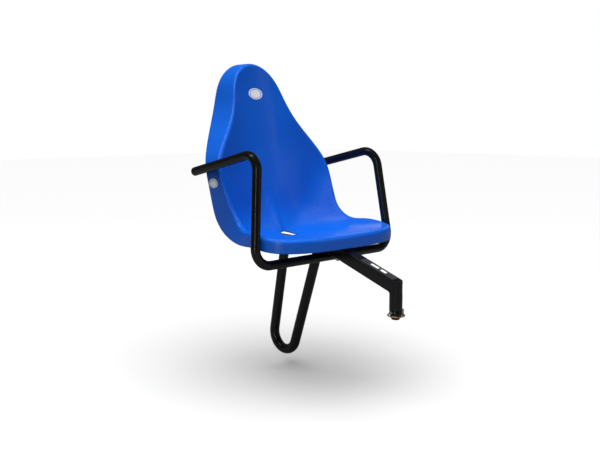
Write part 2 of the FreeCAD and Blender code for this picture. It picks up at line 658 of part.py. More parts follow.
def rear_fixings():
    """Two bolts through the cross plate, each with a washer and a nut."""
    under = size["spine_top"]
    face = under - size["washer_thickness"]
    bolts, washers, nuts = [], [], []
    for name, x, y in list(bolt_places())[1:]:
        bolts.append(seat_bolt(f"{name}_bolt", x, y, face - size["nut_height"] - size["bolt_spare"]))
        disc = cylinder(f"{name}_disc", "sizes.washer_diameter / 2", "sizes.washer_thickness",
                        str(x), str(y), str(face))
        hole = cylinder(f"{name}_disc_hole", "sizes.bolt_diameter / 2", "20", str(x), str(y), str(face - 10))
        washers.append(cut(f"{name}_washer", disc, hole))
        nuts.append(nut(f"{name}_nut", x, y, face))
    node(group("bolts", *bolts), "rear_seat_bolts")
    node(group("washers", *washers), "rear_seat_washers")
    node(group("nuts", *nuts), "rear_seat_nuts")


def arm_label():
    """Thin label on the arm's sloping top, near its front end."""
    slope = math.radians(size["arm_angle"])
    y = -size["arm_front"] + size["label_start"] * math.cos(slope)
    top = arm_height(y) + size["arm_width"] / math.cos(slope)
    node(sloped_box("label", "sizes.label_width", "sizes.label_length", "sizes.sticker",
                    Vector(-size["label_width"] / 2, y, top)), "arm_label")


def badge(label, centre, facing, wide, high):
    """Plain oval sticker, cut out of the thin skin over the seat so that it follows the surface."""
    side = Z_AXIS.cross(facing).normalize()
    upward = facing.cross(side).normalize()
    depth = 6
    oval = Part.Ellipse(Vector(), size[wide] / 2, size[high] / 2)
    block = Part.Face(Part.Wire(oval.toShape())).extrude(Vector(0, 0, 2 * depth))
    block.Placement = Placement(centre - facing * depth, Rotation(side, upward, facing, "ZXY"))
    feature = doc.addObject("Part::Feature", f"{label}_shape")
    feature.Shape = min(block.common(SKIN).Solids, key=lambda solid: (solid.CenterOfMass - centre).Length)
    node(feature, label)


def surface_hit(start, heading):
    """First point where a line from outside meets the shell."""
    line = Part.makeLine(start, start + heading * 900)
    points = [vertex.Point for vertex in line.common(SHELL).Vertexes]
    return min(points, key=lambda point: (point - start).Length)


def surface_facing(centre, heading):
    """Outward direction of the shell near a point, from four nearby hits."""
    side = heading.cross(Z_AXIS).normalize() * 8
    upward = Z_AXIS * 8
    back = centre - heading * 200
    here = [surface_hit(back + shift, heading) for shift in (side, side * -1, upward, upward * -1)]
    facing = (here[0] - here[1]).cross(here[2] - here[3]).normalize()
    return facing if facing.dot(heading) < 0 else facing * -1


def badges():
    """One on the backrest and one on each side of the skirt."""
    centre = surface_hit(Z_AXIS * size["back_badge_z"], Y_AXIS)
    badge("back_badge", centre, surface_facing(centre, Y_AXIS), "back_badge_wide", "back_badge_high")
    for sign, name in ((-1, "left"), (1, "right")):
        inwards = X_AXIS * -sign
        centre = surface_hit(Vector(sign * 500, size["side_badge_y"], size["side_badge_z"]), inwards)
        badge(f"side_badge_{name}", centre, surface_facing(centre, inwards), "side_badge_wide",
              "side_badge_high")


def check_and_export():
    """Stop if anything failed, then write one STEP file for each sub-part."""
    doc.recompute()
    for item in doc.Objects:
        if any(word in ("Invalid", "Error") for word in item.State):
            raise RuntimeError(f"{item.Name} ({item.Label}) failed: {item.State}")
    for item in NODES:
        if item.Shape.isNull() or not item.Shape.isValid() or not item.Shape.Solids:
            raise RuntimeError(f"{item.Label} has no valid shape")
    os.makedirs("parts", exist_ok=True)
    for item in NODES:
        item.Shape.exportStep(os.path.join("parts", item.Label + ".step"))
        box_of = item.Shape.BoundBox
        print(f"{item.Label:20s} {len(item.Shape.Solids)} solid  {item.Shape.Volume / 1000:9.2f} cm3  "
              f"x {box_of.XMin:7.1f} {box_of.XMax:7.1f}  y {box_of.YMin:7.1f} {box_of.YMax:7.1f}  "
              f"z {box_of.ZMin:7.1f} {box_of.ZMax:7.1f}")


SHELL = moulding(0, size["seat_wall"])
SKIN = moulding(-size["sticker"], 0)
ABOVE_ARM = arm_block("above_arm", size["arm_width"], size["arm_width"] + 200)
armrest_hoop()
armrest_plug(-1, "armrest_plug_left")
armrest_plug(1, "armrest_plug_right")
drawbar_arm()
arm_end_plate()
spine()
seat_cross_plate()
coupling_post()
post_nose()
linch_pin()
linch_ring()
support_loop()
moulded_seat()
front_fixing()
rear_fixings()
arm_label()
badges()
check_and_export()
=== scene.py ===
"""Looks of a towed passenger seat for a pedal go-kart, built round its CAD frame.

Lengths are metres in the CAD's own frame: the origin is on the coupling post, +Z is up and the rider faces
-Y. Each operator makes one piece or group of like pieces, and main() calls them in the order of the panel.
"""
import json
import math

import bmesh
import bpy
import numpy as np
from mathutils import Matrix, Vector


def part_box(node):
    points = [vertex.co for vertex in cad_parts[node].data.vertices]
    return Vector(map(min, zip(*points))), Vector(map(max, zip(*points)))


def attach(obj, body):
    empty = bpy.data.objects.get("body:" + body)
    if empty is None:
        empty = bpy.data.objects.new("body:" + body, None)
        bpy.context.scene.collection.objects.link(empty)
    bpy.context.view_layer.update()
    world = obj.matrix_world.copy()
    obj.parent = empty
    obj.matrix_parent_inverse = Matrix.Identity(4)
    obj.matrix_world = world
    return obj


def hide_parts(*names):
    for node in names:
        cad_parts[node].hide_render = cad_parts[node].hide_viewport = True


bl_info = {
    "name": "Kart passenger seat",
    "version": (1, 0, 0),
    "blender": (4, 5, 0),
    "location": "3D View > Sidebar > Kart Seat",
    "description": "Moulded seat, bent tubes, welds, fixings, finishes and studio of a kart's passenger seat",
    "category": "Add Mesh",
}

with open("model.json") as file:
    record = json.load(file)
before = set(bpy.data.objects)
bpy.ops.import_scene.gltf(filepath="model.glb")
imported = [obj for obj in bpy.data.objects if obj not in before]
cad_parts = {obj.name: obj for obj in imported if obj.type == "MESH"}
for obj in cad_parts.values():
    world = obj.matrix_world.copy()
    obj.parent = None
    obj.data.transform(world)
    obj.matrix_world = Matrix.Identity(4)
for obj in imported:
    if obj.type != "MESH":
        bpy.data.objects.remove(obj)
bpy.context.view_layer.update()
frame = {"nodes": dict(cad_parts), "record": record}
MM = 0.001

# The seat, in millimetres and degrees. Half of a closed control polygon, each point as its distance from the
# middle and its place along the rim line.
OUTLINE = np.array([(0, 0), (70, 1), (130, 10), (177, 32), (200, 68), (197, 105), (186, 140), (170, 180),
                    (163, 220), (168, 265), (179, 315), (179, 362), (144, 416), (106, 470), (84, 524),
                    (74, 573), (47, 616), (0, 634)], float)
# Values at even steps along the rim line, front to top: the bowl's depth, the rise of its edge, the way the
# skirt falls (0 is straight back, -90 straight down) and the skirt's depth.
DISH = np.array([4, 9.5, 9.5, 15, 16, 56, 57.5, 48, 43.5, 38, 35.5, 31.5, 30, 28, 34, 42])
WING = np.array([0, 1, 6, 11, 5, 6, 4, 1, 0, 0, 0, 0, 0, 0, 0, 0], float)
SKIRT_TURN = np.array([-90, -90, -90, -90, -48, -34, -24, -10, -2, 0, 0, 0, 0, 0, 0, 0], float)
SKIRT_DEPTH = np.array([33, 33, 34, 34, 43, 71, 69, 57, 54, 60, 76, 89, 90, 82, 68, 46], float)
DISH_POWER = 3.5
WING_POWER = 6
BOWL_RINGS = np.array([0, 0.12, 0.26, 0.4, 0.54, 0.67, 0.78, 0.87, 0.94, 1])
RIM_STEPS = 4
SKIRT_STEPS = 3
NEAR_RIM = 0.985
ROUNDS_PER_POINT = 3
# Places across the surface: where the bowl ends and where the bend over the rim ends, and the skirt's edge.
BOWL_END, RIM_END, SKIRT_END = 8, 13, 14
SEAT_LENGTH = 634
LIP_Y, LIP_Z = 146, 121
PAN_RUN = 149
CORNER_RADIUS = 88
BACK_ANGLE = 20
DRAIN_PLACE, DRAIN_DIAMETER, DRAIN_STRETCH = 195, 40, 1.4
RIM_RADIUS = 10

# The frame, in metres and radians: the bent tubes' corners and leans, then the square tubes and their ends.
BAR_Y, BAR_Z = 0.220, 0.058
BAR_HALF = 0.229
REST_X = 0.198
REST_FRONT = np.array([REST_X, 0.246, 0.3166])
REST_REAR = np.array([REST_X, 0.492, 0.2612])
SPINE_UNDER, SPINE_TOP = 0.0645, 0.0945
LOOP_FRONT_Y, LOOP_REAR_Y = 0.2551, 0.3772
LOOP_FRONT_LEAN, LOOP_REAR_LEAN = math.radians(18.6), math.radians(10.5)
ARM_SLOPE = math.radians(18.1)
ARM_OVER_BAR = 0.0152
ARM_FRONT_Y, ARM_REAR_Y = -0.006, 0.225
ARM_ALONG = np.array([0, math.cos(ARM_SLOPE), math.sin(ARM_SLOPE)])
ARM_UP = np.array([0, -math.sin(ARM_SLOPE), math.cos(ARM_SLOPE)])
SADDLE_FRONT_Y, SADDLE_REAR_Y = 0.2015, 0.2245
RING_Z = -0.049
# Left and right are as seen from in front of the seat, looking along +Y.
RIGHT, REARWARD, UPRIGHT = np.eye(3)
# A direction that lies along none of the tubes, to turn their sections from.
ANY_WAY = np.array([0.43, -0.62, 0.66])

# Turned profiles as radius and height, in millimetres: a plug, from its dome to the end inside the tube; the
# nose, from its tip to its top inside the post; the recess cut for a bolt's head, measured from the head's
# top; and the rim and underside of that head, with the top of the shank.
PLUG_PROFILE = np.array([(0, 6), (3.2, 5.75), (6.2, 5.0), (8.6, 3.75), (10.2, 2.2), (10.9, 0.9),
                         (10.9, 0.35), (10.5, 0.15), (10.5, 0), (8.95, 0), (8.95, -17), (8.4, -17.8),
                         (0, -17.8)])
NOSE_PROFILE = np.array([(0, -58.5), (7.9, -58.5), (8.4, -58.3), (8.75, -57.9), (12.2, -52.9), (12.5, -52.3),
                         (12.5, -47.0), (12.5, -46.5), (13.9, -46.5), (14.5, -45.9), (14.5, -36.4),
                         (14.2, -36.0), (12.0, -36.0), (12.0, -12.0), (0, -12.0)])
RECESS_PROFILE = np.array([(0, -14), (3.1, -14), (3.1, -3.6), (6.7, 0), (6.9, 0.3), (6.9, 5), (0, 5)])
HEAD_PROFILE = np.array([(5.7, 0), (6.4, -0.15), (6.5, -0.45), (3.0, -3.5), (3.0, -3.9)])

# The finish that goes in each of the model's material slots.
FINISHES = {"seat_plastic": "moulded_blue", "frame_paint": "powder_coat", "black_plastic": "plug_plastic",
            "zinc_steel": "bright_zinc", "gold_zinc": "yellow_zinc", "label_film": "label_ground",
            "badge_film": "badge_print"}


# ---------------------------------------------------------------- shapes worked out on grids

def unit(vectors):
    """Each vector divided by its own length."""
    return vectors / np.linalg.norm(vectors, axis=-1, keepdims=True)


def circle(count):
    """Angles evenly spaced once round, without the closing one."""
    return np.arange(count) * 2 * np.pi / count


def cubic_weights(count, places, closed):
    """Weights of an evenly spaced cubic B-spline on its control values: (1-t)^3, 3t^3-6t^2+4,
    -3t^3+3t^2+3t+1 and t^3, each over 6, on the four values round each place. A closed one wraps round, and
    an open one holds its end values."""
    first = np.floor(places).astype(int)
    if not closed:
        first = np.clip(first, 0, count - 2)
    t = places - first
    parts = np.stack([(1 - t) ** 3, 3 * t ** 3 - 6 * t ** 2 + 4, -3 * t ** 3 + 3 * t ** 2 + 3 * t + 1,
                      t ** 3])
    steps = np.arange(-1, 3).reshape((4,) + (1,) * np.ndim(places))
    columns = (first + steps) % count if closed else np.clip(first + steps, 0, count - 1)
    return (parts[..., None] / 6 * (columns[..., None] == np.arange(count))).sum(0)


def clamped_weights(count, places):
    """Weights of a cubic B-spline that ends on its end values, by the Cox and de Boor recursion:
    each order blends two of the order before, by how far the place lies between their knots."""
    spans = count - 3
    knots = np.concatenate([np.zeros(3), np.arange(spans + 1), np.full(3, spans)])
    place = np.clip(places, 0, spans - 1e-9)[:, None]
    weights = ((knots[:-1] <= place) & (place < knots[1:])).astype(float)
    for order in (1, 2, 3):
        gap = knots[order:] - knots[:-order]
        share = np.divide(place - knots[:-order], gap, out=np.zeros((len(places), len(gap))), where=gap > 0)
        rest = np.divide(knots[order:] - place, gap, out=np.zeros((len(places), len(gap))), where=gap > 0)
        weights = share[:, :-1] * weights[:, :-1] + rest[:, 1:] * weights[:, 1:]
    return weights


def along_rim(values, along):
    """Smooth value of an evenly stepped list at places along the rim line."""
    places = np.clip(along / SEAT_LENGTH, 0, 1) * (len(values) - 1)
    return cubic_weights(len(values), places, False) @ values


def rim_line(along):
    """Side view of the rim: level run, then an arc, then the reclined back. Gives y, z and the slope."""
    turned = np.clip((along - PAN_RUN) / CORNER_RADIUS, 0, math.radians(90 - BACK_ANGLE))
    rest = np.maximum(along - PAN_RUN - turned * CORNER_RADIUS, 0)
    y = LIP_Y + np.minimum(along, PAN_RUN) + CORNER_RADIUS * np.sin(turned) + rest * np.cos(turned)
    z = LIP_Z + CORNER_RADIUS * (1 - np.cos(turned)) + rest * np.sin(turned)
    return y, z, turned


def bowl_points(outline, outs):
    """Inside of the seat on rays from the drain hole (0) to the rim (1): the dish fades as 1 - share to the
    power 3.5 and the wings rise as share to the power 6, both square to the rim line."""
    across = outline[:, :1]
    along = outline[:, 1:] - DRAIN_PLACE
    reach = np.hypot(across, along)
    hole = DRAIN_DIAMETER / 2 * reach / np.hypot(across, along * DRAIN_STRETCH)
    share = (hole + (reach - hole) * outs) / reach
    across, along = across * share, along * share + DRAIN_PLACE
    sink = along_rim(DISH, along) * (1 - share ** DISH_POWER) - along_rim(WING, along) * share ** WING_POWER
    y, z, slope = rim_line(along)
    return np.stack([across, y + sink * np.sin(slope), z - sink * np.cos(slope)], -1)


def seat_poles():
    """Control grid of the seat's top surface, in metres: the bowl's rings, an even bend over the rim from the
    bowl's own direction to the skirt's, and the skirt."""
    ring = np.concatenate([OUTLINE, OUTLINE[-2:0:-1] * (-1, 1)])
    rounds = ROUNDS_PER_POINT * len(ring)
    outline = cubic_weights(len(ring), np.arange(rounds) / ROUNDS_PER_POINT, True) @ ring
    bowl = bowl_points(outline, BOWL_RINGS)
    rim = bowl[:, -1:]
    outward = unit(rim - bowl_points(outline, np.array([NEAR_RIM])))
    fall = np.radians(along_rim(SKIRT_TURN, outline[:, 1]))
    down = np.stack([np.zeros(rounds), np.cos(fall), np.sin(fall)], -1)[:, None]
    facing = (outward * down).sum(-1, keepdims=True)
    inward = unit(down - outward * facing)
    bend = np.arccos(facing) * (np.arange(1, RIM_STEPS + 1) / RIM_STEPS)[:, None]
    turned = rim + RIM_RADIUS * (outward * np.sin(bend) + inward * (1 - np.cos(bend)))
    drop = (along_rim(SKIRT_DEPTH, outline[:, 1]) - RIM_RADIUS)[:, None, None]
    skirt = turned[:, -1:] + down * drop * (np.arange(1, SKIRT_STEPS + 1) / SKIRT_STEPS)[:, None]
    return np.concatenate([bowl, turned, skirt], 1) * MM


def sunk(poles, depth):
    """Control grid moved along its own normal, the cross product of its two central differences."""
    around = np.roll(poles, -1, 0) - np.roll(poles, 1, 0)
    following = np.concatenate([poles[:, 1:], poles[:, -1:]], 1)
    before = np.concatenate([poles[:, :1], poles[:, :-1]], 1)
    return poles + unit(np.cross(around, following - before)) * depth


def surface_points(poles, around, across):
    """Points of the closed B-spline surface, one for each pair of places."""
    round_weights = cubic_weights(poles.shape[0], around, True)
    ring_weights = clamped_weights(poles.shape[1], across)
    return np.einsum("pi,pj,ijc->pc", round_weights, ring_weights, poles, optimize=True)


def surface_grid(poles, around, across):
    """Points of the closed B-spline surface in rows: a row for each place across, a column for each place
    around."""
    round_weights = cubic_weights(poles.shape[0], around, True)
    ring_weights = clamped_weights(poles.shape[1], across)
    return np.einsum("ai,bj,ijc->bac", round_weights, ring_weights, poles, optimize=True)


def places_around(poles):
    """Places round the closed surface, four to each control point."""
    return np.arange(4 * poles.shape[0]) / 4


def half_round(top, under, outward, steps):
    """Half circle over the edge of a wall: the wall's middle, plus half the wall turned from the upper face
    to the lower one. The rows it joins are drawn back by its radius, so that it ends where the wall did."""
    half = (top - under) / 2
    back = outward * np.linalg.norm(half, axis=-1, keepdims=True)
    angle = np.linspace(0, np.pi, steps)[:, None, None]
    return (top + under) / 2 - back + half * np.cos(angle) + back * np.sin(angle)


def bent_path(corners, bend, steps):
    """Straight runs with an arc at each inner corner: its centre lies on the corner's bisector, bend / sin of
    half the corner away, and its points turn evenly from one run to the next."""
    pieces = [corners[:1]]
    for before, corner, after in zip(corners, corners[1:], corners[2:]):
        back, ahead = unit(before - corner), unit(after - corner)
        half = math.acos(float(back @ ahead)) / 2
        centre = corner + unit(back + ahead) * bend / math.sin(half)
        enter = corner + back * bend / math.tan(half)
        turn = np.linspace(0, math.pi - 2 * half, steps)[:, None]
        pieces.append(centre + (enter - centre) * np.cos(turn) - back * bend * np.sin(turn))
    pieces.append(corners[-1:])
    return np.concatenate(pieces)


def carried_circle(path, radius, sides):
    """Circle carried along a path: at each point it lies square to the mean of the two steps there."""
    steps = unit(np.diff(path, axis=0))
    ahead = unit(np.concatenate([steps[:1], steps[:-1] + steps[1:], steps[-1:]]))[:, None]
    side = unit(np.cross(ahead, ANY_WAY))
    up = np.cross(side, ahead)
    angle = circle(sides)[:, None]
    return path[:, None] + radius * (np.cos(angle) * side + np.sin(angle) * up)


def turned_round(radii, heights, sides, centre, axis):
    """Profile turned round an axis: centre + radius x (cos a, sin a in the square plane) + height x axis.
    A radius may differ from side to side, as on a hexagon."""
    axis = unit(np.asarray(axis, float))
    side = unit(np.cross(axis, ANY_WAY))
    up = np.cross(axis, side)
    angle = circle(sides)[:, None]
    spokes = np.cos(angle) * side + np.sin(angle) * up
    radii = np.broadcast_to(np.reshape(radii, (len(heights), -1)), (len(heights), sides))
    return np.asarray(centre) + radii[..., None] * spokes + np.reshape(heights, (-1, 1, 1)) * axis


def turned_profile(profile, sides, centre, axis):
    """A profile of radius and height in millimetres, turned round an axis."""
    return turned_round(profile[:, 0] * MM, profile[:, 1] * MM, sides, centre, axis)


def soft_square(half, corner, per_corner):
    """Square with rounded corners: the first is its centre plus a quarter circle, and each of the others is
    the one before it turned by a right angle."""
    turn = np.linspace(0, np.pi / 2, per_corner)
    corners = [np.stack([np.cos(turn), np.sin(turn)], -1) * corner + (half - corner)]
    for _ in range(3):
        corners.append(corners[-1] @ np.array([[0, 1], [-1, 0]]))
    return np.concatenate(corners)


def arm_under(y):
    """Height of the arm's underside: a straight line that rises with y at the arm's slope."""
    return BAR_Z + ARM_OVER_BAR / math.cos(ARM_SLOPE) + (y - BAR_Y) * math.tan(ARM_SLOPE)


def arm_top(y):
    """Height of the arm's upper face, one tube's width above the underside, square to the slope."""
    return arm_under(y) + looks().square_width / math.cos(ARM_SLOPE)


# ---------------------------------------------------------------- meshes

def grid_faces(rows, columns, closed_rows, closed_columns):
    """Corner numbers of a grid's quads: each point with its right, upper right and upper neighbours."""
    r = np.arange(rows if closed_rows else rows - 1)[:, None]
    c = np.arange(columns if closed_columns else columns - 1)[None]
    up, right = (r + 1) % rows, (c + 1) % columns
    corners = [r * columns + c, r * columns + right, up * columns + right, up * columns + c]
    return np.stack(np.broadcast_arrays(*corners), -1).reshape(-1, 4)


def grid_mesh(name, grids, marks=None):
    """Mesh of grids of points, each (rows, whether the rows close, whether the columns close). Points that
    meet are merged, and the normals then turned outwards. Marks are UV places, one for each point."""
    points, quads, start = [], [], 0
    for rows, closed_rows, closed_columns in grids:
        points.append(rows.reshape(-1, 3))
        quads.append(start + grid_faces(rows.shape[0], rows.shape[1], closed_rows, closed_columns))
        start += len(points[-1])
    mesh = bpy.data.meshes.new(name)
    mesh.from_pydata(np.concatenate(points).tolist(), [], np.concatenate(quads).tolist())
    if marks is not None:
        corners = np.empty(len(mesh.loops), int)
        mesh.loops.foreach_get("vertex_index", corners)
        mesh.uv_layers.new(name="marks").uv.foreach_set("vector", marks.reshape(-1, 2)[corners].ravel())
    work = bmesh.new()
    work.from_mesh(mesh)
    bmesh.ops.remove_doubles(work, verts=work.verts, dist=2e-6)
    bmesh.ops.recalc_face_normals(work, faces=work.faces)
    work.to_mesh(mesh)
    work.free()
    return mesh


def soften(mesh, angle=38):
    """Smooth shading, with a crease where two faces meet at more than the angle."""
    mesh.shade_smooth()
    mesh.set_sharp_from_angle(angle=math.radians(angle))


def add_object(name, mesh):
    """A new object in the scene."""
    piece = bpy.data.objects.new(name, mesh)
    bpy.context.scene.collection.objects.link(piece)
    return piece


def add_piece(name, grids, slot, replaces=(), body="root", marks=None, angle=38, finish=None):
    """A finished piece: its mesh, its slot, its body and the CAD nodes that it stands for. Its finish is the
    slot's, unless another is named."""
    mesh = grid_mesh(name, grids, marks)
    soften(mesh, angle)
    piece = add_object(name, mesh)
    mesh.materials.append(bpy.data.materials[finish or FINISHES[slot]])
    settle(piece, replaces, body)


def settle(piece, replaces, body):
    """Put a piece on its body, in place of the CAD nodes that it stands for, which are hidden."""
    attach(piece, body)
    if replaces:
        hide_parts(*replaces)


def looks():
    return bpy.context.scene.kart_seat_looks


# ---------------------------------------------------------------- what a user would change

def length(name, default, description):
    return bpy.props.FloatProperty(name=name, description=description, default=default, min=0.0, precision=4,
                                   unit="LENGTH")


def colour(name, default, description):
    return bpy.props.FloatVectorProperty(name=name, description=description, default=default, min=0.0,
                                         max=1.0, size=3, subtype="COLOR")


def share(name, default, description):
    return bpy.props.FloatProperty(name=name, description=description, default=default, min=0.0, max=1.0,
                                   subtype="FACTOR")


def power(name, default, description):
    return bpy.props.FloatProperty(name=name, description=description, default=default, min=0.0,
                                   unit="POWER")


class KartSeatLooks(bpy.types.PropertyGroup):
    """Sizes and colours of the seat's pieces."""
    seat_wall: length("Seat wall", 0.004, "Thickness of the moulded seat")
    hoop_diameter: length("Hoop tube", 0.022, "Diameter of the armrest hoop's tube")
    hoop_wall: length("Hoop wall", 0.002, "Wall of the hoop's tube")
    hoop_bend: length("Hoop bends", 0.040, "Centreline radius of the hoop's bends")
    loop_diameter: length("Loop tube", 0.025, "Diameter of the hanging loop's tube")
    loop_wall: length("Loop wall", 0.002, "Wall of the loop's tube")
    loop_bend: length("Loop bend", 0.042, "Centreline radius at the foot of the loop")
    square_width: length("Square tube", 0.030, "Width of the arm's and the spine's tube")
    square_wall: length("Square tube wall", 0.0025, "Wall of the square tubes")
    square_corner: length("Square tube corners", 0.0024, "Outer corner radius of the square tubes")
    weld_radius: length("Weld bead", 0.0019, "Radius of a weld bead")
    weld_pitch: length("Weld ripple", 0.0028, "Distance between the ripples of a weld bead")
    thread_pitch: length("Thread pitch", 0.001, "Pitch of the seat bolts' threads")
    ring_wire: length("Ring wire", 0.0035, "Diameter of the sprung ring's wire")
    film: length("Sticker film", 0.00035, "Thickness of a badge's film")
    seat_blue: colour("Seat blue", (0.0045, 0.112, 0.62), "The moulding's own colour")
    seat_blue_dark: colour("Seat blue, dark", (0.004, 0.100, 0.57), "The moulding where its pigment is dense")
    paint_black: colour("Frame paint", (0.0032, 0.0032, 0.0034), "Powder coat of the welded frame")
    plug_black: colour("Black plastic", (0.011, 0.011, 0.011), "Plugs in the ends of the tubes")
    zinc: colour("Zinc", (0.60, 0.61, 0.60), "Bright zinc plate")
    gold: colour("Gold zinc", (0.95, 0.72, 0.30), "Yellow zinc plate of the sprung ring")
    gold_dark: colour("Gold zinc, dark", (0.90, 0.62, 0.34), "Yellow zinc where its film is thicker")
    film_white: colour("White film", (0.86, 0.88, 0.91), "White of the badges and of the label's bars")
    label_grey: colour("Label", (0.026, 0.027, 0.029), "Ground of the label on the arm")


class KartSeatStage(bpy.types.PropertyGroup):
    """Studio that the seat stands in."""
    floor_height: bpy.props.FloatProperty(name="Floor height", description="Height of the floor",
                                          default=-0.257, precision=3, unit="LENGTH")
    floor_colour: colour("Floor", (0.625, 0.625, 0.625), "Pale floor")
    sky_share: share("Surroundings", 0.05, "Brightness of the pale room that the seat reflects")
    top_light: power("Top light", 5.1, "Strength of the wide light overhead")
    side_power: power("Side light", 7.0, "Power of the tall light on the left")
    strip_power: power("Overhead strip", 5.0, "Power of the narrow light overhead, which the tubes mirror")
    fill_power: power("Fill light", 2.0, "Power of the weak light in front")
    rim_power: power("Rim light", 2.6, "Power of the low light behind on the right")
    focal_length: bpy.props.FloatProperty(name="Focal length", description="Focal length in millimetres",
                                          default=46.16, min=1.0)


# ---------------------------------------------------------------- finishes

def new_group(name, inputs, outputs):
    """Empty shader group with named sockets, each given as name, kind and default."""
    group = bpy.data.node_groups.new(name, "ShaderNodeTree")
    for label, kind, default in inputs:
        socket = group.interface.new_socket(name=label, in_out="INPUT", socket_type=kind)
        if default is not None:
            socket.default_value = default
    for label, kind in outputs:
        group.interface.new_socket(name=label, in_out="OUTPUT", socket_type=kind)
    return group, group.nodes.new("NodeGroupInput"), group.nodes.new("NodeGroupOutput")


def add_node(tree, kind, **settings):
    """A node with some of its settings, or of its inputs, set by name."""
    node = tree.nodes.new(kind)
    for key, value in settings.items():
        if key in node.inputs:
            node.inputs[key].default_value = value
        else:
            setattr(node, key, value)
    return node


def feed(tree, node, **values):
    """Give inputs of a node, by name, a value of their own or a link from another node's socket."""
    for key, value in values.items():
        if isinstance(value, bpy.types.NodeSocket):
            tree.links.new(value, node.inputs[key])
        else:
            node.inputs[key].default_value = value


def noise(tree, places, scale, detail, distortion=0.0):
    """Noise on the piece's own place; the scale is a socket or a number."""
    node = add_node(tree, "ShaderNodeTexNoise", Detail=detail, Distortion=distortion)
    feed(tree, node, Vector=places, Scale=scale)
    return node.outputs["Fac"]


def calculate(tree, operation, *values):
    """A sum, product or other operation on sockets and numbers."""
    node = add_node(tree, "ShaderNodeMath", operation=operation)
    for socket, value in zip(node.inputs, values):
        if isinstance(value, bpy.types.NodeSocket):
            tree.links.new(value, socket)
        else:
            socket.default_value = value
    return node.outputs["Value"]


def blend_colours(tree, factor, first, second):
    """The first colour where the factor is 0 and the second where it is 1."""
    node = add_node(tree, "ShaderNodeMix", data_type="RGBA")
    feed(tree, node, Factor=factor, A=first, B=second)
    return node.outputs["Result"]


def smooth_step(tree, value, low, high, to_low=0.0, to_high=1.0):
    """Smooth step of a value, from to_low at low to to_high at high."""
    node = add_node(tree, "ShaderNodeMapRange", interpolation_type="SMOOTHSTEP")
    feed(tree, node, **{"Value": value, "From Min": low, "From Max": high, "To Min": to_low,
                        "To Max": to_high})
    return node.outputs["Result"]


def use_group(tree, name, **values):
    """A node of one of the shared groups, with its inputs set by name."""
    node = add_node(tree, "ShaderNodeGroup", node_tree=bpy.data.node_groups[name])
    feed(tree, node, **values)
    return node


def shade(value, factor):
    """A colour made darker or lighter by a factor."""
    return tuple(part * factor for part in value)


def colour_drift_group():
    """Two close colours that cloud into each other, with a little dust on faces that look up."""
    group, given, made = new_group(
        "Colour drift",
        [("First", "NodeSocketColor", None), ("Second", "NodeSocketColor", None),
         ("Scale", "NodeSocketFloat", 10.0), ("Dust", "NodeSocketFloat", 0.0)],
        [("Colour", "NodeSocketColor")])
    places = add_node(group, "ShaderNodeTexCoord").outputs["Object"]
    cloud = smooth_step(group, noise(group, places, given.outputs["Scale"], 4.0, 0.6), 0.32, 0.68)
    clean = blend_colours(group, cloud, given.outputs["First"], given.outputs["Second"])
    facing = add_node(group, "ShaderNodeSeparateXYZ")
    group.links.new(add_node(group, "ShaderNodeNewGeometry").outputs["Normal"], facing.inputs["Vector"])
    upward = smooth_step(group, facing.outputs["Z"], 0.55, 1.0)
    speckle = smooth_step(group, noise(group, places, 38.0, 6.0), 0.45, 0.8)
    speckled = calculate(group, "MULTIPLY", upward, speckle)
    amount = calculate(group, "MULTIPLY", speckled, given.outputs["Dust"])
    dust_colour = (0.55, 0.53, 0.50, 1.0)
    group.links.new(blend_colours(group, amount, clean, dust_colour), made.inputs["Colour"])


def handled_group():
    """Roughness with broad smudges from hands and fine rubbed streaks."""
    group, given, made = new_group(
        "Handled gloss",
        [("Roughness", "NodeSocketFloat", 0.4), ("Smudges", "NodeSocketFloat", 0.05),
         ("Streaks", "NodeSocketFloat", 0.03), ("Streak scale", "NodeSocketFloat", 160.0)],
        [("Roughness", "NodeSocketFloat")])
    places = add_node(group, "ShaderNodeTexCoord").outputs["Object"]
    smudge = smooth_step(group, noise(group, places, 11.0, 5.0, 0.9), 0.35, 0.7)
    turned = add_node(group, "ShaderNodeMapping")
    feed(group, turned, Vector=places, Scale=(1.0, 0.12, 0.09), Rotation=(0.3, 0.5, 0.4))
    rubbed = noise(group, turned.outputs["Vector"], given.outputs["Streak scale"], 3.0)
    streak = smooth_step(group, rubbed, 0.5, 0.75)
    rough = calculate(group, "ADD", given.outputs["Roughness"],
                      calculate(group, "MULTIPLY", smudge, given.outputs["Smudges"]))
    rough = calculate(group, "ADD", rough, calculate(group, "MULTIPLY", streak, given.outputs["Streaks"]))
    group.links.new(rough, made.inputs["Roughness"])


def grain_group():
    """Height of a fine grain laid over a slow ripple."""
    group, given, made = new_group(
        "Skin grain",
        [("Grain scale", "NodeSocketFloat", 900.0), ("Ripple scale", "NodeSocketFloat", 60.0),
         ("Ripple", "NodeSocketFloat", 0.4)],
        [("Height", "NodeSocketFloat")])
    places = add_node(group, "ShaderNodeTexCoord").outputs["Object"]
    grain = noise(group, places, given.outputs["Grain scale"], 2.0)
    ripple = noise(group, places, given.outputs["Ripple scale"], 1.0)
    height = calculate(group, "ADD", grain, calculate(group, "MULTIPLY", ripple, given.outputs["Ripple"]))
    group.links.new(height, made.inputs["Height"])


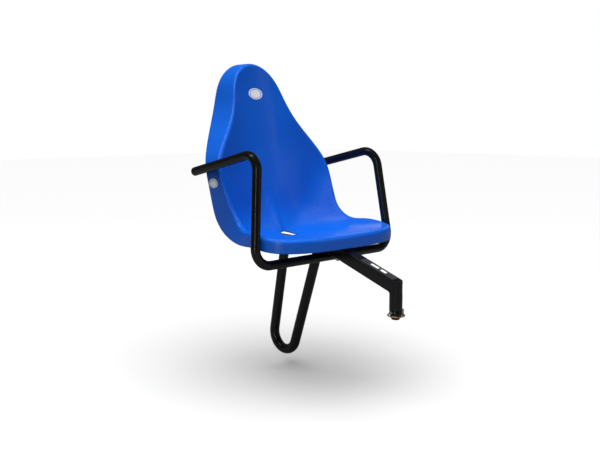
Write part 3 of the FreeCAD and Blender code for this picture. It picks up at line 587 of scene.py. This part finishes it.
def finish_material(name, first, second, metallic, roughness, cloud=9.0, dust=0.0, smudges=0.05,
                    streaks=0.02, grain=900.0, ripple=60.0, ripple_share=0.4, depth=0.00003):
    """A finish from the three shared groups: clouded colour, handled gloss and grain. Cloud, grain and ripple
    are scales of noise, and depth is the grain's height in metres."""
    material = bpy.data.materials.new(name)
    material.use_nodes = True
    tree = material.node_tree
    drift = use_group(tree, "Colour drift", First=(*first, 1.0), Second=(*second, 1.0), Scale=cloud,
                      Dust=dust)
    handled = use_group(tree, "Handled gloss", Roughness=roughness, Smudges=smudges, Streaks=streaks)
    skin = use_group(tree, "Skin grain", **{"Grain scale": grain, "Ripple scale": ripple,
                                            "Ripple": ripple_share})
    bump = add_node(tree, "ShaderNodeBump", Strength=1.0, Distance=depth)
    feed(tree, bump, Height=skin.outputs["Height"])
    feed(tree, tree.nodes["Principled BSDF"], Metallic=metallic, Normal=bump.outputs["Normal"],
         Roughness=handled.outputs["Roughness"], **{"Base Color": drift.outputs["Colour"]})
    return material


def badge_finish(name, white, blue):
    """White film with one thin ring of the seat's colour, from how far out each mark lies: 0 in the middle
    and 1 at the edge. The ring is full within one distance of its own place and gone beyond another."""
    ring_place, full_within, gone_beyond = 0.80, 0.035, 0.050
    tree = finish_material(name, white, shade(white, 0.97), 0.0, 0.30, smudges=0.06, grain=500.0,
                           depth=0.00001).node_tree
    ground = tree.nodes["Principled BSDF"].inputs["Base Color"]
    reach = add_node(tree, "ShaderNodeVectorMath", operation="LENGTH")
    tree.links.new(add_node(tree, "ShaderNodeUVMap", uv_map="marks").outputs["UV"], reach.inputs[0])
    off_ring = calculate(tree, "ABSOLUTE", calculate(tree, "SUBTRACT", reach.outputs["Value"], ring_place))
    ring = smooth_step(tree, off_ring, full_within, gone_beyond, 1.0, 0.0)
    tree.links.new(blend_colours(tree, ring, ground.links[0].from_socket, (*blue, 1.0)), ground)


class KARTSEAT_OT_finishes(bpy.types.Operator):
    """Make every finish: moulded blue, powder coat, plastic, zinc, gold zinc and sticker film"""
    bl_idname = "kart_seat.finishes"
    bl_label = "Finishes"

    def execute(self, context):
        look = looks()
        colour_drift_group()
        handled_group()
        grain_group()
        finish_material("moulded_blue", look.seat_blue, look.seat_blue_dark, 0.0, 0.27, cloud=5.0, dust=0.004,
                        smudges=0.03, streaks=0.004, grain=1500.0, ripple=26.0, ripple_share=2.6,
                        depth=0.00006)
        finish_material("powder_coat", look.paint_black, shade(look.paint_black, 1.35), 0.0, 0.19, cloud=24.0,
                        dust=0.006, smudges=0.04, streaks=0.01, grain=1100.0, ripple=420.0, ripple_share=1.4)
        finish_material("plug_plastic", look.plug_black, shade(look.plug_black, 1.5), 0.0, 0.42, cloud=60.0,
                        dust=0.02, grain=1800.0, ripple=300.0, depth=0.00004)
        finish_material("bright_zinc", look.zinc, shade(look.zinc, 0.78), 1.0, 0.26, cloud=140.0, dust=0.02,
                        smudges=0.10, streaks=0.08, grain=2200.0, ripple=350.0, depth=0.00002)
        finish_material("yellow_zinc", look.gold, look.gold_dark, 1.0, 0.24, cloud=110.0, smudges=0.08,
                        streaks=0.04, grain=2200.0, ripple=350.0, depth=0.000015)
        finish_material("label_ground", look.label_grey, shade(look.label_grey, 1.3), 0.0, 0.24, cloud=30.0,
                        dust=0.01, smudges=0.10, grain=500.0, ripple=90.0, depth=0.00002)
        finish_material("label_white", look.film_white, shade(look.film_white, 0.93), 0.0, 0.35, cloud=90.0,
                        smudges=0.06, grain=500.0, depth=0.00001)
        badge_finish("badge_print", tuple(look.film_white), tuple(look.seat_blue))
        return {"FINISHED"}


# ---------------------------------------------------------------- pieces

class KARTSEAT_OT_moulding(bpy.types.Operator):
    """Make the moulded seat: bowl, turned rim and skirt as one wall, with a recess for each bolt"""
    bl_idname = "kart_seat.moulding"
    bl_label = "Moulded seat"

    def execute(self, context):
        poles = seat_poles()
        around = places_around(poles)
        across = np.concatenate([np.linspace(0, BOWL_END, 33)[:-1], np.linspace(BOWL_END, RIM_END, 31)[:-1],
                                 np.linspace(RIM_END, SKIRT_END, 8)])
        top = surface_grid(poles, around, across)
        under = surface_grid(sunk(poles, looks().seat_wall), around, across)
        skirt_edge = half_round(top[-1], under[-1], unit(top[-1] - top[-2]), 7)
        drain_edge = half_round(under[0], top[0], unit(top[0] - top[1]), 7)
        rows = np.concatenate([top[1:-1], skirt_edge, under[-2:0:-1], drain_edge])
        mesh = grid_mesh("moulded_seat", [(rows, True, True)])
        mesh.materials.append(bpy.data.materials[FINISHES["seat_plastic"]])
        seat = add_object("moulded_seat", mesh)
        cut_recesses(seat)
        settle(seat, ["seat_shell"], "root")
        return {"FINISHED"}


def bolt_heads():
    """Name, middle of the flat head and height of the foot of each bolt, from the CAD's own bolts."""
    low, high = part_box("front_seat_bolt")
    yield "front", np.array([(low.x + high.x) / 2, (low.y + high.y) / 2, high.z]), low.z
    low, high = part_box("rear_seat_bolts")
    half_head = 0.0065
    for side, x in (("left", low.x + half_head), ("right", high.x - half_head)):
        yield f"rear_{side}", np.array([x, (low.y + high.y) / 2, high.z]), low.z


def cut_recesses(seat):
    """Countersunk hole under each bolt head, taken out of the finished wall."""
    holes = [(turned_profile(RECESS_PROFILE, 48, head, UPRIGHT), False, True) for _, head, _ in bolt_heads()]
    cutter = add_object("recess_cutter", grid_mesh("recess_cutter", holes))
    cut = seat.modifiers.new("recesses", "BOOLEAN")
    cut.operation = "DIFFERENCE"
    cut.solver = "EXACT"
    cut.object = cutter
    bpy.context.view_layer.update()
    finished = bpy.data.meshes.new_from_object(seat.evaluated_get(bpy.context.evaluated_depsgraph_get()))
    seat.modifiers.remove(cut)
    seat.data = finished
    bpy.data.objects.remove(cutter)
    soften(finished)


class KARTSEAT_OT_bosses(bpy.types.Operator):
    """Make the three moulded bosses under the pan, each flared into the wall above it"""
    bl_idname = "kart_seat.bosses"
    bl_label = "Seat bosses"

    def execute(self, context):
        plate_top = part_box("seat_cross_plate")[1].z
        grids = [(boss_rows(name, head, plate_top), True, True) for name, head, _ in bolt_heads()]
        add_piece("seat_bosses", grids, "seat_plastic")
        return {"FINISHED"}


def boss_rows(name, head, plate_top):
    """Boss from its foot up to its flare in the wall, and back down its bolt's hole. The rear ones stand on
    the cross plate. The front one starts lower, inside the arm, and whatever lies under the arm's upper face
    is raised to it, each row a little above the one before."""
    hole = 3.2 * MM
    root = head[2] - 2.4 * MM
    foot = root - 14 * MM if name == "front" else plate_top
    radii = np.array([hole, 12.6 * MM, 13.0 * MM, 13.0 * MM, 13.4 * MM, 15.0 * MM, hole, hole])
    heights = np.array([foot, foot, foot + 0.4 * MM, root - 3.0 * MM, root - 1.6 * MM, root, root, foot])
    rows = turned_round(radii, heights - head[2], 64, head, UPRIGHT)
    if name == "front":
        above_arm = np.array([0, 0, 0.4, 0.8, 1.2, 1.6, 0, 0])[:, None] * MM
        rows[..., 2] = np.maximum(rows[..., 2], arm_top(rows[..., 1]) + above_arm)
    return rows


class KARTSEAT_OT_hoop(bpy.types.Operator):
    """Make the armrest hoop, one bent tube, and the domed plugs in its ends"""
    bl_idname = "kart_seat.hoop"
    bl_label = "Armrest hoop"

    def execute(self, context):
        look = looks()
        mirror = np.array([-1, 1, 1])
        right = np.array([(BAR_HALF, BAR_Y, BAR_Z), REST_FRONT, REST_REAR])
        corners = np.concatenate([right[::-1] * mirror, right])
        path = bent_path(corners, look.hoop_bend, 22)
        radius = look.hoop_diameter / 2
        outer = carried_circle(path, radius, 48)
        inner = carried_circle(path, radius - look.hoop_wall, 48)
        add_piece("armrest_tube", [(np.concatenate([outer, inner[::-1]]), True, True)], "frame_paint",
                  ["armrest_hoop"])
        for side, flip in (("right", np.ones(3)), ("left", mirror)):
            plug = turned_profile(PLUG_PROFILE, 48, REST_REAR * flip, REST_REAR - REST_FRONT)
            add_piece(f"{side}_plug", [(plug, False, True)], "black_plastic", [f"armrest_plug_{side}"])
        return {"FINISHED"}


def square_tube(middle, along, up, front_cut, rear_cut):
    """Square tube with rounded corners between two cuts: the outer section at both ends, drawn in a little at
    its lips, then the inner section back. The middle is any point of the tube's axis. Each cut slides the
    section's points along the tube to one y."""
    look = looks()
    half = look.square_width / 2
    lip_in, lip_long, inner_corner = 0.0004, 0.0005, 0.0008
    outer = soft_square(half, look.square_corner, 7)
    lip = soft_square(half - lip_in, look.square_corner, 7)
    inner = soft_square(half - look.square_wall, inner_corner, 7)

    def placed(section, y):
        points = middle + section[:, :1] * RIGHT + section[:, 1:] * up
        return points + along * ((y - points[:, 1:2]) / along[1])

    return np.stack([placed(lip, front_cut), placed(outer, front_cut + lip_long),
                     placed(outer, rear_cut - lip_long), placed(lip, rear_cut),
                     placed(inner, rear_cut), placed(inner, front_cut)])


class KARTSEAT_OT_square_tubes(bpy.types.Operator):
    """Make the sloping arm and the level spine from square tube with rounded corners"""
    bl_idname = "kart_seat.square_tubes"
    bl_label = "Arm and spine"

    def execute(self, context):
        foot = np.array([0, ARM_FRONT_Y, arm_under(ARM_FRONT_Y)]) + ARM_UP * looks().square_width / 2
        arm = square_tube(foot, ARM_ALONG, ARM_UP, ARM_FRONT_Y, ARM_REAR_Y)
        add_piece("sloping_arm", [(arm, True, True)], "frame_paint", ["drawbar_arm"])
        low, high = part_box("spine_tube")
        spine = square_tube(UPRIGHT * (low.z + high.z) / 2, REARWARD, UPRIGHT, low.y, high.y)
        add_piece("level_spine", [(spine, True, True)], "frame_paint", ["spine_tube"])
        return {"FINISHED"}


class KARTSEAT_OT_loop(bpy.types.Operator):
    """Make the hanging loop: a tube bent to a U, its legs cut level under the spine"""
    bl_idname = "kart_seat.loop"
    bl_label = "Hanging loop"

    def execute(self, context):
        look = looks()
        front, rear = math.tan(LOOP_FRONT_LEAN), math.tan(LOOP_REAR_LEAN)
        drop = (LOOP_REAR_Y - LOOP_FRONT_Y) / (front - rear)
        foot = np.array([0, LOOP_FRONT_Y + drop * front, SPINE_UNDER - drop])
        corners = np.array([(0, LOOP_FRONT_Y, SPINE_UNDER), foot, (0, LOOP_REAR_Y, SPINE_UNDER)])
        path = bent_path(corners, look.loop_bend, 40)
        grids = []
        for radius in (look.loop_diameter / 2, look.loop_diameter / 2 - look.loop_wall):
            rows = carried_circle(path, radius, 48)
            for end, nearer in ((0, 1), (-1, -2)):
                way = unit(path[end] - path[nearer])
                rows[end] += way * ((SPINE_UNDER - rows[end][:, 2:]) / way[2])
            grids.append(rows)
        add_piece("bent_loop", [(np.concatenate([grids[0], grids[1][::-1]]), True, True)], "frame_paint",
                  ["support_loop"])
        return {"FINISHED"}


def weld_bead(path, closed=False):
    """Rippled bead along a path: a wire whose radius swells by about an eighth once every pitch and wanders a
    little, domed at its ends."""
    look = looks()
    swell, wander, wander_per_metre, sides, steps_per_pitch, fewest_steps = 0.13, 0.05, 310, 12, 6, 8
    length_so_far = np.concatenate([[0], np.cumsum(np.linalg.norm(np.diff(path, axis=0), axis=1))])
    count = max(int(length_so_far[-1] / (look.weld_pitch / steps_per_pitch)), fewest_steps)
    even = np.linspace(0, length_so_far[-1], count)
    points = np.stack([np.interp(even, length_so_far, path[:, axis]) for axis in range(3)], -1)
    ripple = (1 + swell * np.abs(np.sin(np.pi * even / look.weld_pitch))
              + wander * np.sin(even * wander_per_metre))
    if closed:
        return carried_circle(points[:-1], (look.weld_radius * ripple[:-1])[:, None, None], sides), True, True
    fade = np.sqrt(np.clip(np.minimum(even, even[-1] - even) / look.weld_radius, 0, 1))
    return carried_circle(points, (look.weld_radius * ripple * fade)[:, None, None], sides), False, True


def cornered_bead(corners):
    """Weld bead along straight runs with bends of 3 mm between them."""
    return weld_bead(bent_path(np.array(corners), 3 * MM, 7))


def arc_points(centre, first, second, degrees, count):
    """Arc about a centre: cos a x first + sin a x second, for even steps of a between two angles in
    degrees."""
    angle = np.radians(np.linspace(*degrees, count))[:, None]
    return np.asarray(centre) + np.cos(angle) * np.asarray(first) + np.sin(angle) * np.asarray(second)


class KARTSEAT_OT_welds(bpy.types.Operator):
    """Make the painted weld beads where the frame's tubes and plates meet"""
    bl_idname = "kart_seat.welds"
    bl_label = "Weld beads"

    def execute(self, context):
        look = looks()
        half, inset, end_gap = look.square_width / 2, 0.0004, 0.001
        beads = []
        reach = look.loop_diameter / 2 + inset
        for y, lean in ((LOOP_FRONT_Y, LOOP_FRONT_LEAN), (LOOP_REAR_Y, LOOP_REAR_LEAN)):
            centre, longer = (0, y, SPINE_UNDER - inset), reach / math.cos(lean)
            ring = arc_points(centre, RIGHT * reach, REARWARD * longer, (0, 360), 97)
            beads.append(weld_bead(ring, closed=True))
        low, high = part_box("arm_end_plate")
        foot = low.z + 0.002
        for y, top in ((low.y - inset, high.z), (high.y, SPINE_TOP)):
            beads.append(cornered_bead([(-half, y, foot), (-half, y, top), (half, y, top), (half, y, foot)]))
        saddle = [(half, SADDLE_REAR_Y), (half, SADDLE_FRONT_Y)]
        saddle += [(-half, SADDLE_FRONT_Y), (-half, SADDLE_REAR_Y)]
        beads.append(cornered_bead([(x, y, arm_under(y)) for x, y in saddle]))
        reach = look.hoop_diameter / 2 + inset
        for x in (-half, half):
            lap = arc_points((x, BAR_Y, BAR_Z), REARWARD * reach, UPRIGHT * reach, (64, 178), 40)
            beads.append(weld_bead(lap))
        low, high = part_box("seat_cross_plate")
        for x in (-half - inset, half + inset):
            ends = [(x, low.y + end_gap, low.z - inset), (x, high.y - end_gap, low.z - inset)]
            beads.append(weld_bead(np.array(ends)))
        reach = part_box("coupling_post")[1].x - inset / 2
        elbow = arc_points((0, 0, 0), REARWARD * reach, RIGHT * reach, (-113, 113), 90)
        elbow[:, 2] = arm_under(elbow[:, 1])
        beads.append(weld_bead(elbow))
        add_piece("weld_beads", beads, "frame_paint", angle=60)
        return {"FINISHED"}


def hexagon(flats, sides):
    """Distance from the middle to a hexagon's edge in each direction: half the flats over the cosine of the
    angle to the nearest flat's middle."""
    nearest = (circle(sides) + np.pi / 6) % (np.pi / 3) - np.pi / 6
    return flats / 2 / np.cos(nearest)


def bolt_rows(head, foot):
    """Countersunk bolt from its hexagon socket, over the head, down the shank and along its thread: the
    thread's radius is a triangle wave of height over pitch less the share of a turn."""
    sides = 48
    crest, groove, point, end_clear = 2.9 * MM, 0.5 * MM, 2.3 * MM, 0.8 * MM
    longest_thread, plain_shank = 14 * MM, 5 * MM
    socket = hexagon(4 * MM, sides)
    turn = circle(sides) / (2 * np.pi)
    pitch = looks().thread_pitch
    length = head[2] - foot
    starts = np.arange(min(length - plain_shank, longest_thread), end_clear, -pitch / 6)
    thread = crest - groove * np.abs(((starts[:, None] / pitch + turn) % 1) * 2 - 1)
    socket_rows = np.array([0, 0.98, 1, 1.06])[:, None] * socket
    plain = np.repeat(HEAD_PROFILE[:, :1] * MM, sides, 1)
    end = np.repeat([[point], [0]], sides, 1)
    heights = np.concatenate([np.array([-2.4, -2.2, -0.3, 0]) * MM, HEAD_PROFILE[:, 1] * MM, starts - length,
                              [-length, -length]])
    return turned_round(np.concatenate([socket_rows, plain, thread, end]), heights, sides, head, UPRIGHT)


def nut_rows(centre, top, height, flats):
    """Hexagon nut with both faces chamfered: at each height the lesser of the hexagon and a cone, and a plain
    hole through it."""
    sides, hole = 72, 3.0 * MM
    face_share, cone_slope = 0.97, 1.7
    depth = np.array([0, 0.08, 0.2, 0.8, 0.92, 1]) * height
    cone = flats / 2 * face_share + np.minimum(depth, height - depth) * cone_slope
    outer = np.minimum(hexagon(flats, sides)[None], cone[:, None])
    radii = np.concatenate([outer, np.full((2, sides), hole)])
    heights = np.concatenate([-depth, [-height, 0]])
    return turned_round(radii, heights, sides, (centre[0], centre[1], top), UPRIGHT)


def washer_rows(centre, top, thickness, radius):
    """Flat ring with its outer edges rounded over."""
    soft, hole = 0.3 * MM, 3.2 * MM
    radii = np.array([hole, radius - soft, radius, radius, radius - soft, hole])
    heights = np.array([0, 0, -soft, soft - thickness, -thickness, -thickness])
    return turned_round(radii, heights, 64, (centre[0], centre[1], top), UPRIGHT)


class KARTSEAT_OT_fixings(bpy.types.Operator):
    """Make the seat's bolts with their threads, the chamfered nuts and the flat washers"""
    bl_idname = "kart_seat.fixings"
    bl_label = "Seat fixings"

    def execute(self, context):
        bolts = list(bolt_heads())
        low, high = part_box("front_seat_nut")
        flats = high.y - low.y
        for name, plural, group in (("front", "", bolts[:1]), ("rear", "s", bolts[1:])):
            shanks = [(bolt_rows(head, foot), False, True) for _, head, foot in group]
            add_piece(f"{name}_bolt{plural}", shanks, "zinc_steel", [f"{name}_seat_bolt{plural}"], angle=50)
            low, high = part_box(f"{name}_seat_nut{plural}")
            nuts = [(nut_rows(head, high.z, high.z - low.z, flats), True, True) for _, head, _ in group]
            add_piece(f"{name}_nut{plural}", nuts, "zinc_steel", [f"{name}_seat_nut{plural}"], angle=28)
        low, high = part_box("rear_seat_washers")
        washers = [(washer_rows(head, high.z, high.z - low.z, (high.y - low.y) / 2), True, True)
                   for _, head, _ in bolts[1:]]
        add_piece("rear_washers", washers, "zinc_steel", ["rear_seat_washers"])
        return {"FINISHED"}


def ring_path():
    """Centreline of the sprung ring, from one side of the pin's head round to the other: a short leg, a bend,
    and a large arc that carries on where the bend stops. The arc's radius is the y where the bend ends over
    the sine of the turn, and its centre lies that radius times the cosine nearer the post."""
    hinge, leg_start, leg_end = 0.019, 0.0015, 0.0066
    bend, turn = 0.0035, math.radians(25.5)
    small = np.linspace(0, turn, 8)
    corner = np.stack([hinge - bend + bend * np.cos(small), leg_end + bend * np.sin(small)], -1)
    radius = corner[-1, 1] / math.sin(turn)
    large = np.linspace(turn, 2 * np.pi - turn, 90)[1:-1]
    centre = corner[-1, 0] - radius * math.cos(turn)
    arc = np.stack([centre + radius * np.cos(large), radius * np.sin(large)], -1)
    flat = np.concatenate([[(hinge, leg_start)], corner, arc, corner[::-1] * (1, -1), [(hinge, -leg_start)]])
    return np.column_stack([flat, np.full(len(flat), RING_Z)])


class KARTSEAT_OT_coupling(bpy.types.Operator):
    """Make the nose in the foot of the post and the sprung ring of the linch pin"""
    bl_idname = "kart_seat.coupling"
    bl_label = "Nose and ring"

    def execute(self, context):
        nose = turned_profile(NOSE_PROFILE, 64, (0, 0, 0), UPRIGHT)
        add_piece("tapered_nose", [(nose, False, True)], "frame_paint", ["post_nose"])
        ring = carried_circle(ring_path(), looks().ring_wire / 2, 20)
        add_piece("sprung_ring", [(ring, False, True)], "gold_zinc", ["linch_ring"], body="linch_ring")
        return {"FINISHED"}


def film_rows(poles, centre_box, wide, high):
    """Oval film that lies on the seat. Each point starts on an oval in the tangent plane and is walked over
    the surface by Newton's method until it sits over its place; it is then lifted along the normal there."""
    low, top = (np.array(corner) for corner in centre_box)
    around = places_around(poles)
    across = np.linspace(0.5, SKIRT_END - 0.5, 90)
    places = surface_grid(poles, around, across)
    row, column = np.unravel_index(np.argmin(((places - (low + top) / 2) ** 2).sum(-1)), places.shape[:2])
    start = np.array([around[column], across[row]])
    step, longest_walk, edge_gap = 1e-3, 0.4, 0.1

    def slopes(pairs):
        rise = [surface_points(poles, *(pairs + shift).T) - surface_points(poles, *(pairs - shift).T)
                for shift in (np.array([step, 0]), np.array([0, step]))]
        return np.stack(rise, -1) / (2 * step)

    def outward(steep):
        return unit(np.cross(steep[..., 1], steep[..., 0]))

    origin = surface_points(poles, start[:1], start[1:])[0]
    normal = outward(slopes(start[None])[0])
    side = unit(np.cross(UPRIGHT, normal))
    plane = np.stack([side, np.cross(normal, side)])
    # Share of the way out and of the film's thickness, ring by ring: over the face, then back under it.
    rings = np.array([0, 0.25, 0.5, 0.72, 0.76, 0.84, 0.88, 0.97, 1.0, 1.0, 0.6, 0])
    lifts = np.array([1, 1, 1, 1, 1, 1, 1, 1, 0.6, -0.3, -0.3, -0.3])
    angle = circle(72)
    oval = rings[:, None, None] * np.stack([np.cos(angle), np.sin(angle)], -1)
    target = (oval * (wide / 2, high / 2)).reshape(-1, 2)
    pairs = np.repeat(start[None], len(target), 0)
    for _ in range(16):
        miss = target - (surface_points(poles, *pairs.T) - origin) @ plane.T
        walk = np.linalg.solve(plane @ slopes(pairs), miss[..., None])[..., 0]
        pairs = pairs + np.clip(walk, -longest_walk, longest_walk)
        pairs[:, 1] = np.clip(pairs[:, 1], edge_gap, SKIRT_END - edge_gap)
    lift = np.repeat(lifts, len(angle))[:, None] * looks().film
    points = surface_points(poles, *pairs.T) + outward(slopes(pairs)) * lift
    return points.reshape(len(rings), len(angle), 3), oval


class KARTSEAT_OT_badges(bpy.types.Operator):
    """Make the three plain oval badges, each laid on the seat's own surface"""
    bl_idname = "kart_seat.badges"
    bl_label = "Badges"

    def execute(self, context):
        poles = seat_poles()
        for name, node, wide, high in (("back_oval", "back_badge", 0.046, 0.030),
                                       ("left_oval", "side_badge_left", 0.036, 0.024),
                                       ("right_oval", "side_badge_right", 0.036, 0.024)):
            rows, marks = film_rows(poles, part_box(node), wide, high)
            add_piece(name, [(rows, False, True)], "badge_film", [node], marks=marks)
        return {"FINISHED"}


def plate_rows(outline, centre, thickness):
    """Thin plate on the arm with a rounded outline: its underside, its edge with a softened upper corner, and
    its top."""
    rings = np.array([0, 1, 1, 0.985, 0])
    heights = np.array([0, 0, 0.7, 1, 1]) * thickness
    flat = rings[:, None, None] * outline
    return centre + flat[..., :1] * RIGHT + flat[..., 1:] * ARM_ALONG + heights[:, None, None] * ARM_UP


def soft_rectangle(wide, long, corner, per_corner):
    """Rectangle with rounded corners: a small rounded square with its four quarters moved apart."""
    quarter = soft_square(corner, corner, per_corner)
    apart = np.array([(1, 1), (-1, 1), (-1, -1), (1, -1)]) * (wide / 2 - corner, long / 2 - corner)
    return quarter + np.repeat(apart, per_corner, 0)


class KARTSEAT_OT_label(bpy.types.Operator):
    """Make the dark label on the arm and its two plain white bars"""
    bl_idname = "kart_seat.label"
    bl_label = "Arm label"

    def execute(self, context):
        long, wide, corner, thickness = 0.104, 0.024, 0.003, 0.0004
        bar_wide, bar_corner, bar_thickness = 0.008, 0.0015, 0.0001
        from_arm_end = 0.008
        front = np.array([0, ARM_FRONT_Y + from_arm_end * ARM_ALONG[1], 0])
        front[2] = arm_top(front[1])
        label = plate_rows(soft_rectangle(wide, long, corner, 6), front + ARM_ALONG * long / 2, thickness)
        add_piece("label_ground", [(label, False, True)], "label_film", ["arm_label"])
        bars = []
        for place, bar_long in ((0.066, 0.024), (0.038, 0.017)):
            centre = front + ARM_ALONG * place + ARM_UP * thickness
            outline = soft_rectangle(bar_wide, bar_long, bar_corner, 5)
            bars.append((plate_rows(outline, centre, bar_thickness), False, True))
        add_piece("label_bars", bars, "label_film", finish="label_white")
        return {"FINISHED"}


class KARTSEAT_OT_kept_nodes(bpy.types.Operator):
    """Give each CAD part that is shown as it is the finish of its own material slot"""
    bl_idname = "kart_seat.kept_nodes"
    bl_label = "Remaining CAD parts"

    def execute(self, context):
        for part in frame["record"]["subparts"]:
            mesh = frame["nodes"][part["node"]].data
            mesh.materials.clear()
            mesh.materials.append(bpy.data.materials[FINISHES[part["material_slot"]]])
        return {"FINISHED"}


# ---------------------------------------------------------------- studio

FLOOR_REACH = 12
# Share of the floor's brightness that reaches the seat as light and in reflections.
FLOOR_DIMMED = 0.20
SKY_ANGLE = math.radians(80)
CAMERA_PLACE = (-1.3064, -1.1029, 0.3839)
CAMERA_TURN = (math.radians(82.376), 0, math.radians(-42.567))


def add_lamp(name, lamp, place, target):
    """A light at a place, turned to face a target."""
    light = bpy.data.objects.new(name, lamp)
    bpy.context.scene.collection.objects.link(light)
    light.location = place
    light.rotation_euler = (Vector(target) - Vector(place)).to_track_quat("-Z", "Y").to_euler()
    return light


def add_panel(name, place, target, width, height, watts):
    """Flat soft light that faces a target."""
    lamp = bpy.data.lights.new(name, "AREA")
    lamp.shape = "RECTANGLE"
    lamp.size, lamp.size_y = width, height
    lamp.energy = watts
    add_lamp(name, lamp, place, target)


def add_sky(name, toward, strength):
    """Even light from a wide patch of sky, the same all over the floor and too soft to be mirrored."""
    lamp = bpy.data.lights.new(name, "SUN")
    lamp.energy = strength
    lamp.angle = SKY_ANGLE
    add_lamp(name, lamp, toward, (0, 0, 0)).visible_glossy = False


class KARTSEAT_OT_stage(bpy.types.Operator):
    """Make the pale floor, the soft lights, the pale room and the camera"""
    bl_idname = "kart_seat.stage"
    bl_label = "Studio"

    def execute(self, context):
        stage = bpy.context.scene.kart_seat_stage
        scene = bpy.context.scene
        place = np.linspace(-FLOOR_REACH, FLOOR_REACH, 13)
        rows = np.stack(np.broadcast_arrays(place[:, None], place, stage.floor_height), -1)
        mesh = grid_mesh("floor", [(rows, False, False)])
        soften(mesh)
        floor = add_object("floor", mesh)
        mesh.materials.append(floor_finish(stage.floor_colour))
        add_sky("top_light", (-0.10, -0.10, 1.0), stage.top_light)
        add_panel("side_light", (-2.25, -1.05, 0.75), (0, 0.3, 0.15), 0.12, 2.2, stage.side_power)
        add_panel("sky_strip", (-0.9, 0.9, 2.2), (0, 0.3, 0.15), 0.25, 1.8, stage.strip_power)
        add_panel("fill_light", (1.5, -2.4, 1.0), (0, 0.25, 0.15), 0.7, 1.8, stage.fill_power)
        add_panel("rim_light", (1.9, 2.1, 1.0), (0, 0.3, 0.1), 1.8, 0.8, stage.rim_power)
        room(stage.sky_share)
        scene.view_settings.view_transform = "Standard"
        lens = bpy.data.cameras.new("camera")
        lens.lens, lens.sensor_width = stage.focal_length, 36.0
        camera = bpy.data.objects.new("camera", lens)
        scene.collection.objects.link(camera)
        camera.location, camera.rotation_euler = CAMERA_PLACE, CAMERA_TURN
        scene.camera = camera
        return {"FINISHED"}


def floor_finish(pale):
    """Matt pale floor that the camera sees at full brightness and the seat reflects as a dimmer one."""
    material = bpy.data.materials.new("pale_floor")
    material.use_nodes = True
    tree = material.node_tree
    shader = tree.nodes["Principled BSDF"]
    shader.inputs["Roughness"].default_value = 0.9
    seen = add_node(tree, "ShaderNodeLightPath").outputs["Is Camera Ray"]
    dimmed = (*shade(pale, FLOOR_DIMMED), 1.0)
    tree.links.new(blend_colours(tree, seen, dimmed, (*pale, 1.0)), shader.inputs["Base Color"])
    return material


def room(brightness):
    """Pale room: white where the camera looks straight at it, and dimmer as light and in reflections."""
    world = bpy.data.worlds.new("pale_room")
    bpy.context.scene.world = world
    world.use_nodes = True
    tree = world.node_tree
    seen = add_node(tree, "ShaderNodeLightPath").outputs["Is Camera Ray"]
    feed(tree, tree.nodes["Background"], Color=(1, 1, 1, 1),
         Strength=calculate(tree, "MAXIMUM", seen, brightness))


# ---------------------------------------------------------------- panel and order

STEPS = (KARTSEAT_OT_finishes, KARTSEAT_OT_stage, KARTSEAT_OT_kept_nodes, KARTSEAT_OT_moulding,
         KARTSEAT_OT_bosses, KARTSEAT_OT_hoop, KARTSEAT_OT_square_tubes, KARTSEAT_OT_loop, KARTSEAT_OT_welds,
         KARTSEAT_OT_fixings, KARTSEAT_OT_coupling, KARTSEAT_OT_badges, KARTSEAT_OT_label)


class KARTSEAT_PT_panel(bpy.types.Panel):
    """Lists the seat's operators in their order, and its sizes and colours"""
    bl_idname = "KARTSEAT_PT_panel"
    bl_label = "Kart passenger seat"
    bl_space_type = "VIEW_3D"
    bl_region_type = "UI"
    bl_category = "Kart Seat"

    def draw(self, context):
        for step in STEPS:
            self.layout.operator(step.bl_idname)
        for settings in (context.scene.kart_seat_looks, context.scene.kart_seat_stage):
            for name in settings.__annotations__:
                self.layout.prop(settings, name)


def register():
    for item in (KartSeatLooks, KartSeatStage, *STEPS, KARTSEAT_PT_panel):
        bpy.utils.register_class(item)
    bpy.types.Scene.kart_seat_looks = bpy.props.PointerProperty(type=KartSeatLooks)
    bpy.types.Scene.kart_seat_stage = bpy.props.PointerProperty(type=KartSeatStage)


def unregister():
    del bpy.types.Scene.kart_seat_stage
    del bpy.types.Scene.kart_seat_looks
    for item in reversed((KartSeatLooks, KartSeatStage, *STEPS, KARTSEAT_PT_panel)):
        bpy.utils.unregister_class(item)


def main():
    register()
    bpy.ops.kart_seat.finishes()
    bpy.ops.kart_seat.stage()
    bpy.ops.kart_seat.kept_nodes()
    bpy.ops.kart_seat.moulding()
    bpy.ops.kart_seat.bosses()
    bpy.ops.kart_seat.hoop()
    bpy.ops.kart_seat.square_tubes()
    bpy.ops.kart_seat.loop()
    bpy.ops.kart_seat.welds()
    bpy.ops.kart_seat.fixings()
    bpy.ops.kart_seat.coupling()
    bpy.ops.kart_seat.badges()
    bpy.ops.kart_seat.label()


if __name__ == "__main__":
    main()
